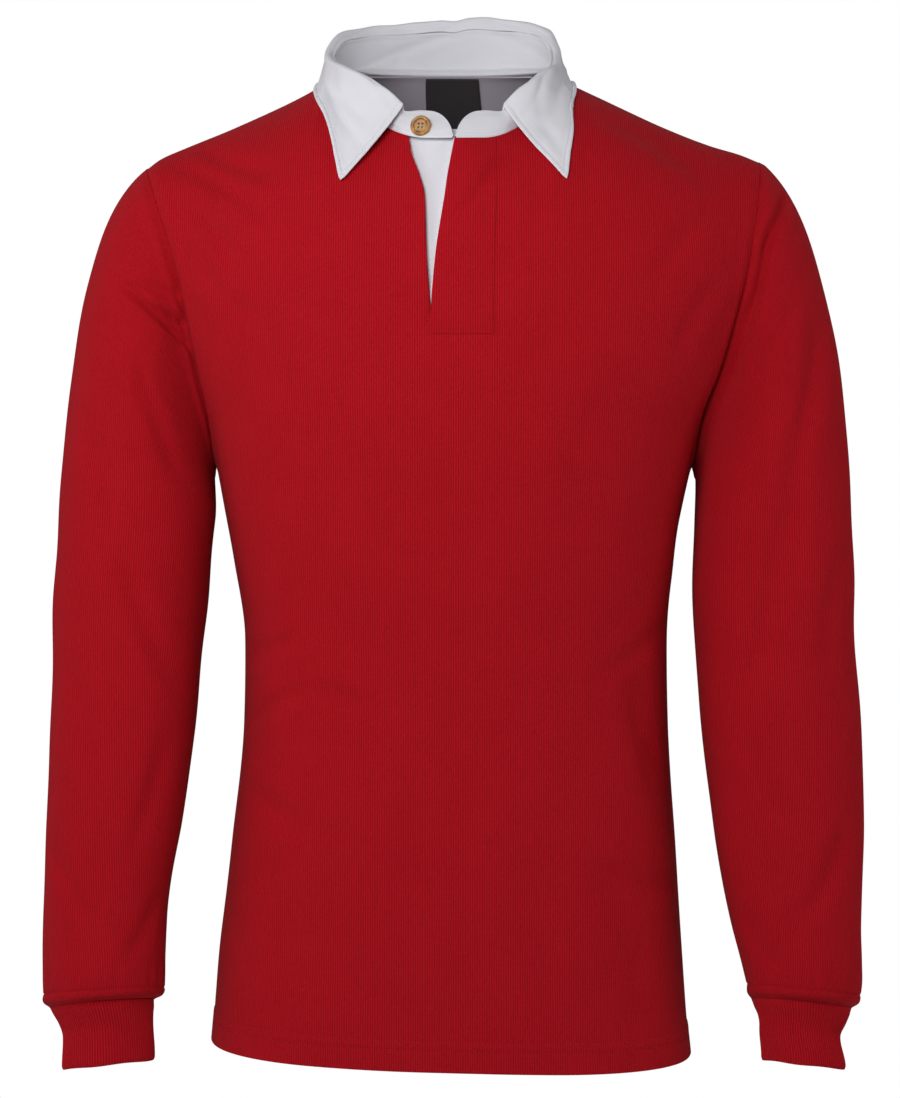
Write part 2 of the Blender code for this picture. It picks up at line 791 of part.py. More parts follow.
def button_drill(cutters):
    """Four pins in one mesh that cut the button's holes."""
    shape = bmesh.new()
    for quarter in range(4):
        angle = math.radians(45 + 90 * quarter)
        ring = BUTTON_HOLE_RING
        place = Matrix.Translation((ring * math.cos(angle), ring * math.sin(angle), 0))
        bmesh.ops.create_cone(
            shape,
            cap_ends=True,
            segments=8,
            radius1=BUTTON_HOLE,
            radius2=BUTTON_HOLE,
            depth=3 * BUTTON_THICK,
            matrix=place,
        )
    mesh = bpy.data.meshes.new("button_drill")
    shape.to_mesh(mesh)
    shape.free()
    drill = bpy.data.objects.new("button_drill", mesh)
    cutters.objects.link(drill)
    drill.hide_render = True
    drill.display_type = "WIRE"
    return drill


def build():
    """Every piece of the shirt."""
    for old in list(bpy.data.objects):
        bpy.data.objects.remove(old, do_unlink=True)
    shirt = bpy.data.collections.new("rugby_shirt")
    cutters = bpy.data.collections.new("cutters")
    for collection in (shirt, cutters):
        bpy.context.scene.collection.children.link(collection)
    back_grid = panel(1, back_columns(), panel_levels()[:, None])
    pieces = {
        "front": (front_blocks(), "rib_knit", KNIT, False, False),
        "back": ([back_grid], "rib_knit", KNIT, False, True),
        "sleeve_right": ([sleeve(-1)], "rib_knit", KNIT, True, True),
        "sleeve_left": ([sleeve(1)], "rib_knit", KNIT, True, False),
        "cuff_right": ([cuff(-1)], "rib_knit", KNIT, True, True),
        "cuff_left": ([cuff(1)], "rib_knit", KNIT, True, False),
        "collar_stand": ([stand()], "white_twill", TWILL, False, True),
        "placket_underlap": ([underlap()], "white_twill", TWILL, False, False),
        "placket_fly": ([fly()], "rib_knit", KNIT, False, False),
        "fly_facing": ([fly_facing()], "white_twill", TWILL, False, False),
        "neck_facing": ([neck_facing()], "white_twill", TWILL, False, True),
        "neck_label": ([label()], "label_weave", LABEL_CLOTH, False, True),
    }
    meshes = {}
    for name, (blocks, cloth, thickness, wrap, flip) in pieces.items():
        meshes[name] = surface(name, blocks, wrap, flip)
        wall(add(shirt, name, meshes[name], material(cloth)), thickness)
    grid = leaf()
    under = [meshes["front"], meshes["back"]]
    grid[LEAF_ROLL_ROWS:] = settled(grid[LEAF_ROLL_ROWS:], under, TWILL + LEAF_CLEAR)
    fall = surface("collar_leaf", [grid])
    wall(add(shirt, "collar_leaf", fall, material("white_twill")), TWILL)
    button(shirt, cutters)


build()
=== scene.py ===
# %% [markdown]
# # A rugby shirt, filled out as it is worn
#
# A rugby shirt is a heavy knitted shirt with a woven collar.  This lesson makes the cloth
# of one in Blender: two body panels, two sleeves, two cuffs, a collar with a stand, and
# the placket under it.  Each piece is a surface worked out from two numbers, and lies on
# a plain solid of the same piece, which is loaded first.

import bpy
import numpy as np
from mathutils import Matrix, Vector


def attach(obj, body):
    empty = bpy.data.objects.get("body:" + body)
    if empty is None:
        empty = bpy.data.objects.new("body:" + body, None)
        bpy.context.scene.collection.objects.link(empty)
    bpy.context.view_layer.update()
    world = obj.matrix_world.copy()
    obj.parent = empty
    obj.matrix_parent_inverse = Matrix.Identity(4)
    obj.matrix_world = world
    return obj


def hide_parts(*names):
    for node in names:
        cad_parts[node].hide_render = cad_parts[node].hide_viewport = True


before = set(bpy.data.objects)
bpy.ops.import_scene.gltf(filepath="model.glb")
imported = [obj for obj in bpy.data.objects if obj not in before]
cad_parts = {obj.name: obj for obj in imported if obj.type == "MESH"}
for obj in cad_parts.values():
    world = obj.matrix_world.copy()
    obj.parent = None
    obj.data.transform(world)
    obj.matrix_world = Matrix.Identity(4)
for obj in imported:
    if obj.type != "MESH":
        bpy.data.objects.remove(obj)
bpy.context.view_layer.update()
print("solids:", ", ".join(sorted(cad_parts)))

# %% [markdown]
# ## Curves from short tables
#
# A maker notes the shirt's girth at a few levels and lets the cloth run smoothly between
# them.  A table does the same: each column is read as a curve through its rows.  The
# curve here is cubic and never overshoots, so a level between two rows is never wider
# than both.


# %% Tables, and reading them as smooth curves
def table(names, rows):
    """A short table as one array per named column."""
    return dict(zip(names.split(), np.array(rows, dtype=float).T))


def read(rows, name, at):
    """Value of a column at a value of the first column.

    Cubic Hermite curve; each inner slope is the harmonic mean of the slopes beside it,
    and zero where those have unlike signs.
    """
    keys = next(iter(rows.values()))
    values = rows[name]
    rates = np.diff(values) / np.diff(keys)
    before, after = rates[:-1], rates[1:]
    same_way = before * after > 0
    total = np.where(same_way, before + after, 1)
    slopes = np.concatenate(
        [rates[:1], np.where(same_way, 2 * before * after / total, 0), rates[-1:]]
    )
    at = np.clip(at, keys[0], keys[-1])
    i = np.clip(np.searchsorted(keys, at, side="right") - 1, 0, len(keys) - 2)
    step = keys[i + 1] - keys[i]
    t = (at - keys[i]) / step
    start = (1 + 2 * t) * (1 - t) ** 2 * values[i] + t * (1 - t) ** 2 * step * slopes[i]
    end = t**2 * (3 - 2 * t) * values[i + 1] - t**2 * (1 - t) * step * slopes[i + 1]
    return start + end


def stack(x, y, z):
    """Three coordinates, of any shapes that fit each other, as points."""
    return np.stack(np.broadcast_arrays(x, y, z), axis=-1)


def unit(vectors):
    """Vectors at length one."""
    length = np.linalg.norm(vectors, axis=-1, keepdims=True)
    return vectors / np.maximum(length, 1e-12)


def bezier(start, leave, arrive, end, t):
    """Cubic curve between two points: weights (1-t)^3, 3t(1-t)^2, 3t^2(1-t) and t^3."""
    t = np.asarray(t)[..., None]
    first = (1 - t) ** 3 * start + 3 * t * (1 - t) ** 2 * leave
    return first + 3 * t**2 * (1 - t) * arrive + t**3 * end


def smooth(low, high, at):
    """0 below low, 1 above high, and 3t^2 - 2t^3 between them."""
    t = np.clip((at - low) / (high - low), 0, 1)
    return t * t * (3 - 2 * t)


def banded(height, distance, bands):
    """Height with a low ridge or groove at each band.

    A band is (amount, line, soft) and adds amount * exp(-((distance - line) / soft)^2).
    """
    for amount, line, soft in bands:
        height = height + amount * np.exp(-(((distance - line) / soft) ** 2))
    return height


print("a quarter of the way, a smooth step has risen to", smooth(0, 1, 0.25))

# %% [markdown]
# ## From a grid of points to a wall of cloth
#
# Knit and twill are one to one and a half millimetres thick.  The wall needs an outer
# face, an inner face and a rounded rim where the cloth ends, and the pattern of the knit
# has to follow the cloth.  A Solidify modifier gives the two faces, but a rim of our own
# can be round, and the wall can thin out towards a seam, so the wall is worked out here.


# %% Faces, directions and open edges
def grid_quads(rows, columns, first):
    """Corner numbers of a grid's quads, with `first` as its first point."""
    place = np.arange(rows * columns).reshape(rows, columns) + first
    corners = [place[:-1, :-1], place[:-1, 1:], place[1:, 1:], place[1:, :-1]]
    return np.stack(corners, axis=-1).reshape(-1, 4)


def facings(points, quads):
    """Each quad's direction at twice its area: the cross product of its diagonals."""
    a, b, c, d = (points[quads[:, i]] for i in range(4))
    return np.cross(c - a, d - b)


def point_normals(points, quads):
    """Mean direction of the faces at each point."""
    directions = facings(points, quads)
    total = np.zeros_like(points)
    for corner in range(4):
        np.add.at(total, quads[:, corner], directions)
    return unit(total)


def open_edges(quads):
    """Directed edges that only one face has, with the face and corner each starts from."""
    start = quads.ravel()
    end = np.roll(quads, -1, axis=1).ravel()
    many = quads.max() + 1
    alone = ~np.isin(start * many + end, end * many + start)
    return start[alone], end[alone], np.nonzero(alone)[0]


print("a grid of 3 by 4 points has", len(open_edges(grid_quads(3, 4, 0))[0]), "open edges")

# %% Blocks welded into one sheet
WELDS_PER_METRE = 2e5


def welded(blocks, inside_out):
    """One sheet of several blocks; points less than about 0.005 mm apart are one.

    A block is (points, pattern, thickness share).  Gives the points, their thickness
    shares, the quads, and the pattern at each quad's corners.
    """
    sizes = [block[0].shape[:2] for block in blocks]
    firsts = np.cumsum([0] + [rows * columns for rows, columns in sizes])
    quads = np.concatenate([grid_quads(*size, first) for size, first in zip(sizes, firsts)])
    if inside_out:
        quads = quads[:, ::-1]
    points = np.concatenate([block[0].reshape(-1, 3) for block in blocks])
    pattern = np.concatenate([block[1].reshape(-1, 2) for block in blocks])
    share = np.concatenate([np.ravel(block[2]) for block in blocks])
    near = np.round(points * WELDS_PER_METRE).astype(np.int64)
    _, first_use, number = np.unique(near, axis=0, return_index=True, return_inverse=True)
    return points[first_use], share[first_use], number.ravel()[quads], pattern[quads]


print("points are welded on a grid of", 1 / WELDS_PER_METRE, "m")

# %% A closed wall with a round rim
RIM_ANGLES = (45, 90, 135)


def wall_of_cloth(blocks, thickness, edge_round, inside_out):
    """Points, quads and corner patterns of a closed wall.

    The inner face is the outer one moved in along its normals.  The rim is a half ellipse:
    cos(a) of half the wall along the normal and sin(a) of `edge_round` outwards.
    """
    points, share, quads, corners = welded(blocks, inside_out)
    many = len(points)
    normals = point_normals(points, quads)
    wall = (thickness * share)[:, None]
    inner = points - normals * wall
    start, end, corner = open_edges(quads)
    sideways = np.cross(unit(points[end] - points[start]), normals[start])
    away = np.zeros_like(points)
    np.add.at(away, start, sideways)
    np.add.at(away, end, sideways)
    on_rim = np.unique(start)
    number = np.zeros(many, dtype=np.int64)
    number[on_rim] = np.arange(len(on_rim))
    middle = (points + inner)[on_rim] / 2
    rings, edges = [], [(start, end)]
    for k, angle in enumerate(np.radians(RIM_ANGLES)):
        ring = middle + np.cos(angle) * (wall / 2)[on_rim] * normals[on_rim]
        rings.append(ring + np.sin(angle) * edge_round * unit(away)[on_rim])
        first = 2 * many + k * len(on_rim)
        edges.append((number[start] + first, number[end] + first))
    edges.append((start + many, end + many))
    rim = [np.stack([b, a, c, d], axis=-1) for (a, b), (c, d) in zip(edges, edges[1:])]
    here = corners.reshape(-1, 2)[corner]
    following = np.roll(corners, -1, axis=1).reshape(-1, 2)[corner]
    rim_corners = np.stack([following, here, here, following], axis=1)
    return (
        np.concatenate([points, inner, *rings]),
        np.concatenate([quads, quads[:, ::-1] + many, *rim]),
        np.concatenate([corners, corners[:, ::-1], *[rim_corners] * len(rim)]),
    )


print("a rim has", len(RIM_ANGLES), "rings of points")


# %% Put a piece on the shirt
def mesh_object(name, points, faces, corners=None):
    """Mesh object at the origin, smooth, with its pattern coordinates in metres."""
    mesh = bpy.data.meshes.new(name)
    mesh.from_pydata(points.tolist(), [], faces)
    if corners is not None:
        layer = mesh.uv_layers.new(name="cloth")
        layer.data.foreach_set("uv", corners.astype(np.float32).ravel())
    mesh.shade_smooth()
    made = bpy.data.objects.new(name, mesh)
    bpy.context.scene.collection.objects.link(made)
    return made


pieces, slots = {}, {}


def sew(name, node, slot, blocks, thickness, edge_round=0.0002, inside_out=False):
    """Make one cloth piece that stands for a solid, and print its area and faces.

    A block is (points, pattern), and may end with its thickness share.
    """
    full = [(*block, np.ones(block[0].shape[:2]))[:3] for block in blocks]
    points, quads, corners = wall_of_cloth(full, thickness, edge_round, inside_out)
    made = mesh_object(name, points, quads.tolist(), corners)
    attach(made, "root")
    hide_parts(node)
    pieces[name], slots[name] = made, slot
    both_faces = np.linalg.norm(facings(points, quads), axis=-1).sum() / 2
    print(f"{name}: {len(quads)} quads, cloth area {both_faces / 2:.4f} square metres")


# %% [markdown]
# ## The sizes of the shirt
#
# These are the shirt's own numbers, in metres: the origin is the middle of the neck base,
# +Z is up and the front faces -Y.  The body is a set of rounded sections, wider at the
# chest and hem than at the waist, and the shoulders, slit, collar, sleeves and cuffs each
# have a table.  Right and left are the wearer's.

# %% Sizes of the body
FACES = {-1: "front", 1: "back"}
SIDES = {-1: "right", 1: "left"}
HEM = -0.711
HEM_TILT = -0.030
UNDERARM = -0.285
CHEST = -0.160
SEAM = 0.0006
KNIT = 0.0015
TWILL = 0.0013

BODY = table(
    "level right left front back hole_front hole_back square",
    [
        (-0.720, 0.178, 0.176, 0.121, 0.113, 0.000, 0.000, 2.8),
        (-0.652, 0.172, 0.171, 0.118, 0.110, 0.000, 0.000, 2.6),
        (-0.562, 0.162, 0.165, 0.114, 0.105, 0.000, 0.000, 2.4),
        (-0.473, 0.153, 0.159, 0.111, 0.101, 0.000, 0.000, 2.3),
        (-0.413, 0.152, 0.158, 0.113, 0.103, 0.000, 0.000, 2.3),
        (-0.354, 0.160, 0.162, 0.119, 0.110, 0.000, 0.000, 2.3),
        (-0.285, 0.172, 0.175, 0.124, 0.118, 0.000, 0.000, 2.3),
        (-0.275, 0.174, 0.177, 0.125, 0.119, 0.016, 0.017, 2.3),
        (-0.250, 0.179, 0.183, 0.126, 0.121, 0.029, 0.031, 2.3),
        (-0.210, 0.192, 0.202, 0.126, 0.123, 0.043, 0.046, 2.3),
        (-0.160, 0.207, 0.221, 0.124, 0.124, 0.052, 0.056, 2.3),
    ],
)
SHOULDER = table(
    "share x_right z_right x_left z_left y",
    [
        (0.00, 0.000, 0.001, 0.000, 0.001, 0.012),
        (0.20, 0.027, -0.0140, 0.031, -0.0130, 0.009),
        (0.55, 0.079, -0.0380, 0.085, -0.0378, 0.006),
        (0.78, 0.114, -0.0520, 0.120, -0.0512, 0.004),
        (0.91, 0.1335, -0.0605, 0.1405, -0.0572, 0.003),
        (1.00, 0.143, -0.0675, 0.155, -0.0630, 0.002),
    ],
)
print("from the hem to the chest row:", round(CHEST - HEM, 4), "m")

# %% Sizes of the neck and of the slit
NECK_SHARE = 0.40  # how much of a panel's top edge is neckline
NECK_POINT_TURN = 80.0  # where the neckline meets the shoulder seam, in degrees from the back
NECK_HALF_WIDTH = 0.075
NECK_BACK = 0.066
NECK_FRONT = 0.090
NECK_HEIGHT = 0.0032
NECK_DROP = 0.0484
NECK_DROP_TURNS = (75.0, 165.0)
CENTRE_BACK_X = -0.005
CENTRE_FRONT_X = 0.001
COLLAR_STRAIGHT_TURNS = (90.0, 160.0)
SLIT_FOOT = -0.1745
SLIT_TURN = 12.0
SLIT_X = -0.015

SLIT = table(
    "level right left",
    [
        (SLIT_FOOT, 0.0000, 0.0000),
        (-0.120, -0.0034, 0.0035),
        (-0.061, -0.0052, 0.0097),
        (-0.039, -0.0094, 0.0117),
        (-0.020, -0.0150, 0.0140),
        (0.000, -0.0180, 0.0165),
    ],
)
print("the slit goes down to", SLIT_FOOT, "m")


# %% The neck ring and a body section
def collar_middle(turn):
    """The collar's middle line, a little to one side except in front."""
    share = smooth(*COLLAR_STRAIGHT_TURNS, np.abs(turn))
    return CENTRE_BACK_X + (CENTRE_FRONT_X - CENTRE_BACK_X) * share


def turned(half_width, back, front, turn):
    """Ellipse round the neck: sine of the turn across and cosine along; 0 is the back."""
    angle = np.radians(turn)
    depth = np.where(np.cos(angle) > 0, back, front)
    return collar_middle(turn) + half_width * np.sin(angle), depth * np.cos(angle)


def neck_ring(turn):
    """Seam between body and stand: an ellipse whose front drops in an S."""
    x, y = turned(NECK_HALF_WIDTH, NECK_BACK, NECK_FRONT, turn)
    return stack(x, y, NECK_HEIGHT - NECK_DROP * smooth(*NECK_DROP_TURNS, np.abs(turn)))


def section(face, across, level):
    """Body below the chest row: |x/half|^n + |y/depth|^n = 1, with n from the table.

    Beside an armhole the section stops where its depth is still the table's hole.  The
    front's columns lean towards the slit's line, most in the middle.
    """
    right, left = read(BODY, "right", level), read(BODY, "left", level)
    depth = read(BODY, FACES[face], level)
    hole = read(BODY, "hole_" + FACES[face], level)
    square = read(BODY, "square", level)
    end = (1 - (hole / depth) ** square) ** (1 / square)
    middle, half = (left - right) / 2, (left + right) / 2
    reach = np.sin(across * np.arcsin(end))
    if face < 0:
        reach = reach + (SLIT_X - middle) / half * (1 - across**2) ** 2
    bulge = np.clip(1 - np.abs(reach) ** square, 0, 1) ** (1 / square)
    return stack(middle + half * reach, face * (depth * bulge + SEAM / 2), level)


print("middle of the front at the underarm:", section(-1, 0.0, UNDERARM).round(4))

# %% [markdown]
# ## The panels
#
# A panel runs from the hem to the chest as sections, and from there one curve for each
# column carries it over the shoulder to its top edge.  The top edge is the neckline in
# the middle and the shoulder seam at each side.


# %% A panel's top edge
def neck_turn(face, across):
    """Turn round the neck at a place on a panel's neckline."""
    share = across / NECK_SHARE
    if face > 0:
        return NECK_POINT_TURN * share
    from_front = (180 - NECK_POINT_TURN) * share - SLIT_TURN * (1 - share**2)
    return np.where(from_front < 0, -180 - from_front, 180 - from_front)


def top_edge(face, across):
    """Neckline in the middle of a panel and the shoulder seam's table at each side."""
    neck = neck_ring(neck_turn(face, np.clip(across, -NECK_SHARE, NECK_SHARE)))
    share = np.clip((np.abs(across) - NECK_SHARE) / (1 - NECK_SHARE), 0, 1)
    right, left = (
        stack(
            side * read(SHOULDER, "x_" + name, share) + neck[..., 0],
            read(SHOULDER, "y", share),
            read(SHOULDER, "z_" + name, share),
        )
        for side, name in SIDES.items()
    )
    seam = np.where((across < 0)[..., None], right, left)
    return np.where((share > 0)[..., None], seam, neck) + (0, face * SEAM / 2, 0)


def top_slope(face, across):
    """Downward direction at the top edge: steep at the neck and close to level at the shoulder."""
    share = smooth(0.0, 1.15, np.abs(across) / NECK_SHARE)
    side = np.where(across < 0, -1.0, 1.0)
    out = 0.30 * share * smooth(0.0, 1.0, (1 - np.abs(across)) / (1 - NECK_SHARE))
    return unit(stack(side * out, face * (0.50 + 0.50 * share), -0.86 + 0.80 * share))


# %% A panel as a surface of two numbers
YOKE_HANDLE = 0.36
CHEST_STEP = 0.012
NORMAL_STEP = 0.004
TOP_MARGIN = 0.0011


def yoke(face, across, share):
    """Bezier curve from the chest row to the top edge; its handles are a share of its span."""
    foot = section(face, across, CHEST)
    rise = unit(foot - section(face, across, CHEST - CHEST_STEP))
    top = top_edge(face, across)
    reach = YOKE_HANDLE * np.linalg.norm(top - foot, axis=-1, keepdims=True)
    return bezier(foot, foot + reach * rise, top + reach * top_slope(face, across), top, share)


def panel(face, across, level):
    """Outer face of the front (-1) or the back (+1)."""
    across, level = np.broadcast_arrays(np.asarray(across, float), np.asarray(level, float))
    low = section(face, across, np.minimum(level, CHEST))
    high = yoke(face, across, np.clip(1 - level / CHEST, 0, 1))
    points = np.where((level < CHEST)[..., None], low, high)
    tilt = HEM_TILT * smooth(UNDERARM, HEM, level) * points[..., 0]
    return points + stack(0, 0, tilt)


def panel_normal(face, across, level):
    """Outward direction: the cross product of a step across the panel and a step up it.

    The level stays a little below the top edge, so that the upper step is on the panel.
    """
    level = np.minimum(level, -TOP_MARGIN)
    right, left = np.clip(across - NORMAL_STEP, -1, 1), np.clip(across + NORMAL_STEP, -1, 1)
    up = NORMAL_STEP / 4
    sideways = panel(face, left, level) - panel(face, right, level)
    upwards = panel(face, across, level + up) - panel(face, across, level - up)
    return unit(np.cross(sideways, upwards)) * -face


print("front at the chest's middle:", panel(-1, 0.0, CHEST).round(4))
print("shoulder point on the left:", panel(-1, 1.0, 0.0).round(4))

# %% [markdown]
# ## Soft troughs and ridges
#
# Worn knit never lies as smooth as a drawing.  It is pulled into shallow folds between the
# points that carry it: from the armhole towards the chest, at the waist, down the sleeves.
# They could come from a cloth simulation, but here each main fold is listed: a
# bowed line on the front or the back, with a width, and a depth that is less than nothing
# where the cloth bulges.  A fold has low banks beside it, because the cloth has to go
# somewhere.

# %% Folds of the body
FOLD_NAMES = "x0 z0 x1 z1 bow width depth"
FRONT_FOLDS = table(
    FOLD_NAMES,
    [
        (-0.196, -0.066, -0.128, -0.106, 0.004, 0.0080, 0.0034),
        (-0.190, -0.092, -0.152, -0.150, 0.006, 0.0080, 0.0032),
        (-0.212, -0.085, -0.199, -0.150, 0.000, 0.0070, -0.0014),
        (-0.186, -0.050, -0.120, -0.074, -0.004, 0.0090, 0.0030),
        (-0.184, -0.130, -0.138, -0.178, -0.004, 0.0100, 0.0020),
        (0.104, -0.030, 0.186, -0.078, 0.006, 0.0110, 0.0030),
        (0.196, -0.092, 0.146, -0.142, -0.004, 0.0090, 0.0020),
        (0.200, -0.140, 0.160, -0.205, -0.006, 0.0090, 0.0017),
        (0.044, -0.046, 0.006, -0.098, 0.002, 0.0058, 0.0026),
        (0.060, -0.060, 0.052, -0.130, 0.004, 0.0100, 0.0013),
        (-0.152, -0.474, -0.104, -0.440, 0.003, 0.0080, 0.0021),
        (-0.104, -0.441, -0.060, -0.452, 0.003, 0.0100, 0.0014),
        (-0.156, -0.430, -0.112, -0.404, 0.002, 0.0080, 0.0017),
        (0.132, -0.430, 0.156, -0.530, -0.004, 0.0120, 0.0038),
        (0.143, -0.480, 0.157, -0.512, 0.000, 0.0032, 0.0013),
        (0.160, -0.392, 0.104, -0.430, 0.004, 0.0090, 0.0020),
        (-0.152, -0.515, -0.100, -0.552, 0.004, 0.0120, 0.0026),
        (0.104, -0.566, 0.166, -0.590, -0.004, 0.0140, 0.0032),
        (-0.040, -0.540, -0.030, -0.650, 0.004, 0.0180, 0.0017),
        (0.060, -0.560, 0.078, -0.670, -0.004, 0.0200, 0.0020),
        (-0.120, -0.600, -0.126, -0.690, 0.002, 0.0160, 0.0020),
        (0.130, -0.620, 0.136, -0.700, 0.002, 0.0140, 0.0020),
        (-0.100, -0.220, -0.080, -0.330, 0.006, 0.0240, 0.0017),
        (0.104, -0.230, 0.092, -0.340, -0.006, 0.0240, 0.0017),
    ],
)
BACK_FOLDS = table(
    FOLD_NAMES,
    [
        (-0.182, -0.085, -0.110, -0.150, 0.006, 0.0100, 0.0026),
        (0.186, -0.085, 0.116, -0.146, -0.006, 0.0100, 0.0025),
        (-0.178, -0.150, -0.130, -0.230, -0.006, 0.0110, 0.0022),
        (0.182, -0.156, 0.136, -0.240, 0.006, 0.0110, 0.0023),
        (-0.060, -0.060, 0.064, -0.066, 0.008, 0.0120, 0.0014),
        (-0.062, -0.008, -0.036, -0.030, 0.002, 0.0040, -0.0022),
        (0.062, -0.010, 0.044, -0.032, -0.002, 0.0040, -0.0022),
        (-0.140, -0.400, -0.050, -0.436, 0.006, 0.0110, 0.0048),
        (0.142, -0.414, 0.044, -0.452, -0.006, 0.0120, 0.0050),
        (-0.136, -0.446, -0.076, -0.462, 0.004, 0.0090, 0.0036),
        (0.140, -0.470, 0.082, -0.486, -0.004, 0.0090, 0.0037),
        (-0.020, -0.380, -0.026, -0.500, 0.005, 0.0200, 0.0036),
        (0.030, -0.410, 0.036, -0.540, -0.005, 0.0200, 0.0033),
        (-0.096, -0.540, -0.106, -0.670, 0.004, 0.0160, 0.0038),
        (0.100, -0.560, 0.110, -0.690, -0.004, 0.0170, 0.0038),
    ],
)
print("folds in front and behind:", len(FRONT_FOLDS["bow"]), len(BACK_FOLDS["bow"]))

# %% Folds of the sleeves
SLEEVE_FRONT_FOLDS = table(
    FOLD_NAMES,
    [
        (-0.243, -0.146, -0.180, -0.205, 0.002, 0.0040, 0.0056),
        (-0.211, -0.166, -0.178, -0.196, 0.001, 0.0034, 0.0060),
        (-0.232, -0.150, -0.186, -0.164, 0.001, 0.0060, 0.0032),
        (-0.226, -0.204, -0.190, -0.300, -0.003, 0.0075, 0.0024),
        (-0.262, -0.250, -0.246, -0.340, 0.004, 0.0110, 0.0024),
        (-0.236, -0.350, -0.188, -0.452, -0.005, 0.0095, 0.0039),
        (-0.276, -0.420, -0.256, -0.520, 0.004, 0.0110, 0.0027),
        (-0.206, -0.470, -0.232, -0.560, 0.004, 0.0090, 0.0027),
        (-0.288, -0.556, -0.250, -0.620, -0.004, 0.0090, 0.0027),
        (-0.210, -0.590, -0.236, -0.640, 0.002, 0.0080, 0.0024),
        (0.244, -0.084, 0.223, -0.126, 0.001, 0.0052, 0.0058),
        (0.227, -0.112, 0.211, -0.178, 0.001, 0.0052, 0.0058),
        (0.214, -0.162, 0.194, -0.236, 0.001, 0.0052, 0.0050),
        (0.246, -0.164, 0.214, -0.222, 0.002, 0.0070, 0.0018),
        (0.266, -0.176, 0.249, -0.272, 0.002, 0.0110, 0.0046),
        (0.250, -0.256, 0.244, -0.370, -0.003, 0.0120, 0.0044),
        (0.234, -0.320, 0.206, -0.452, 0.006, 0.0100, 0.0030),
        (0.286, -0.340, 0.270, -0.430, -0.004, 0.0110, 0.0024),
        (0.214, -0.470, 0.244, -0.540, -0.004, 0.0090, 0.0027),
        (0.286, -0.540, 0.250, -0.610, 0.004, 0.0100, 0.0030),
        (0.214, -0.600, 0.236, -0.648, -0.002, 0.0080, 0.0023),
    ],
)
SLEEVE_BACK_FOLDS = table(
    FOLD_NAMES,
    [
        (-0.240, -0.150, -0.190, -0.214, 0.004, 0.0070, 0.0030),
        (-0.226, -0.210, -0.188, -0.280, 0.003, 0.0080, 0.0027),
        (-0.280, -0.380, -0.222, -0.424, 0.006, 0.0090, 0.0039),
        (-0.282, -0.420, -0.220, -0.452, 0.005, 0.0080, 0.0033),
        (-0.274, -0.470, -0.214, -0.500, 0.004, 0.0090, 0.0030),
        (-0.270, -0.560, -0.236, -0.640, -0.004, 0.0090, 0.0027),
        (0.244, -0.150, 0.194, -0.210, -0.004, 0.0070, 0.0030),
        (0.230, -0.220, 0.192, -0.290, -0.003, 0.0080, 0.0027),
        (0.284, -0.372, 0.226, -0.416, -0.006, 0.0090, 0.0039),
        (0.286, -0.414, 0.222, -0.448, -0.005, 0.0080, 0.0033),
        (0.280, -0.466, 0.216, -0.494, -0.004, 0.0090, 0.0030),
        (0.272, -0.556, 0.238, -0.636, 0.004, 0.0090, 0.0027),
    ],
)
print("folds on the sleeves:", len(SLEEVE_FRONT_FOLDS["bow"]), len(SLEEVE_BACK_FOLDS["bow"]))


# %% The height of folds and of uneven cloth
def folds(rows, points, facing):
    """Height from a table of folds: (0.7 q - 1) exp(-q) times depth, with q = (away/width)^2.

    `away` is the distance from the bowed line in the X-Z view.  The height fades in and out
    along the line, and where the cloth doesn't face the side that the table is for.
    """
    height = np.zeros(points.shape[:-1])
    x, z = points[..., 0], points[..., 2]
    for x0, z0, x1, z1, bow, width, depth in zip(*rows.values()):
        span = np.hypot(x1 - x0, z1 - z0)
        east, north = (x1 - x0) / span, (z1 - z0) / span
        along = ((x - x0) * east + (z - z0) * north) / span
        away = (z - z0) * east - (x - x0) * north - 4 * bow * along * (1 - along)
        q = (away / width) ** 2
        ends = smooth(-0.15, 0.30, along) * smooth(1.15, 0.65, along)
        height += depth * ends * (0.7 * q - 1) * np.exp(-q)
    return height * smooth(0.10, 0.55, facing)


def unevenness(points, size):
    """Height of cloth that was never quite flat: three waves, about 60 to 140 mm long."""
    x, y, z = points[..., 0], points[..., 1], points[..., 2]
    first = np.sin(52 * x + 19 * z + 3 * np.sin(17 * z + 9 * y))
    second = np.sin(37 * z - 23 * x + 2 * np.sin(31 * x - 11 * y) + 1.7)
    third = np.sin(83 * z + 61 * x - 47 * y + 0.6)
    return size * (0.45 * first + 0.4 * second + 0.15 * third)


# %% [markdown]
# ## Flat places
#
# Cloth is cut flat, and its ribs are straight in the flat piece.  So each point also gets
# its place on the flat cloth: metres across the ribs from the middle line, and metres
# along them.  The knit follows these two numbers wherever the cloth goes.


# %% Lengths along a surface, and a panel's rows
HEM_BAND = 0.028
HEM_STEP = 0.001
TOP_ROWS = np.array([-0.006, -0.004, -0.0025, -0.0012, 0])


def lengths(points, axis):
    """Distance travelled along rows (axis 1) or columns (axis 0), from 0."""
    steps = np.linalg.norm(np.diff(points, axis=axis), axis=-1)
    return np.concatenate([np.zeros_like(steps.take([0], axis)), steps.cumsum(axis)], axis)


def even(start, stop, step):
    """Values from start to stop, about a step apart."""
    return np.linspace(start, stop, int(round(abs(stop - start) / step)) + 1)


def join(*runs):
    """Runs of values that follow each other, without the ends they share."""
    return np.concatenate([runs[0], *(run[1:] for run in runs[1:])])


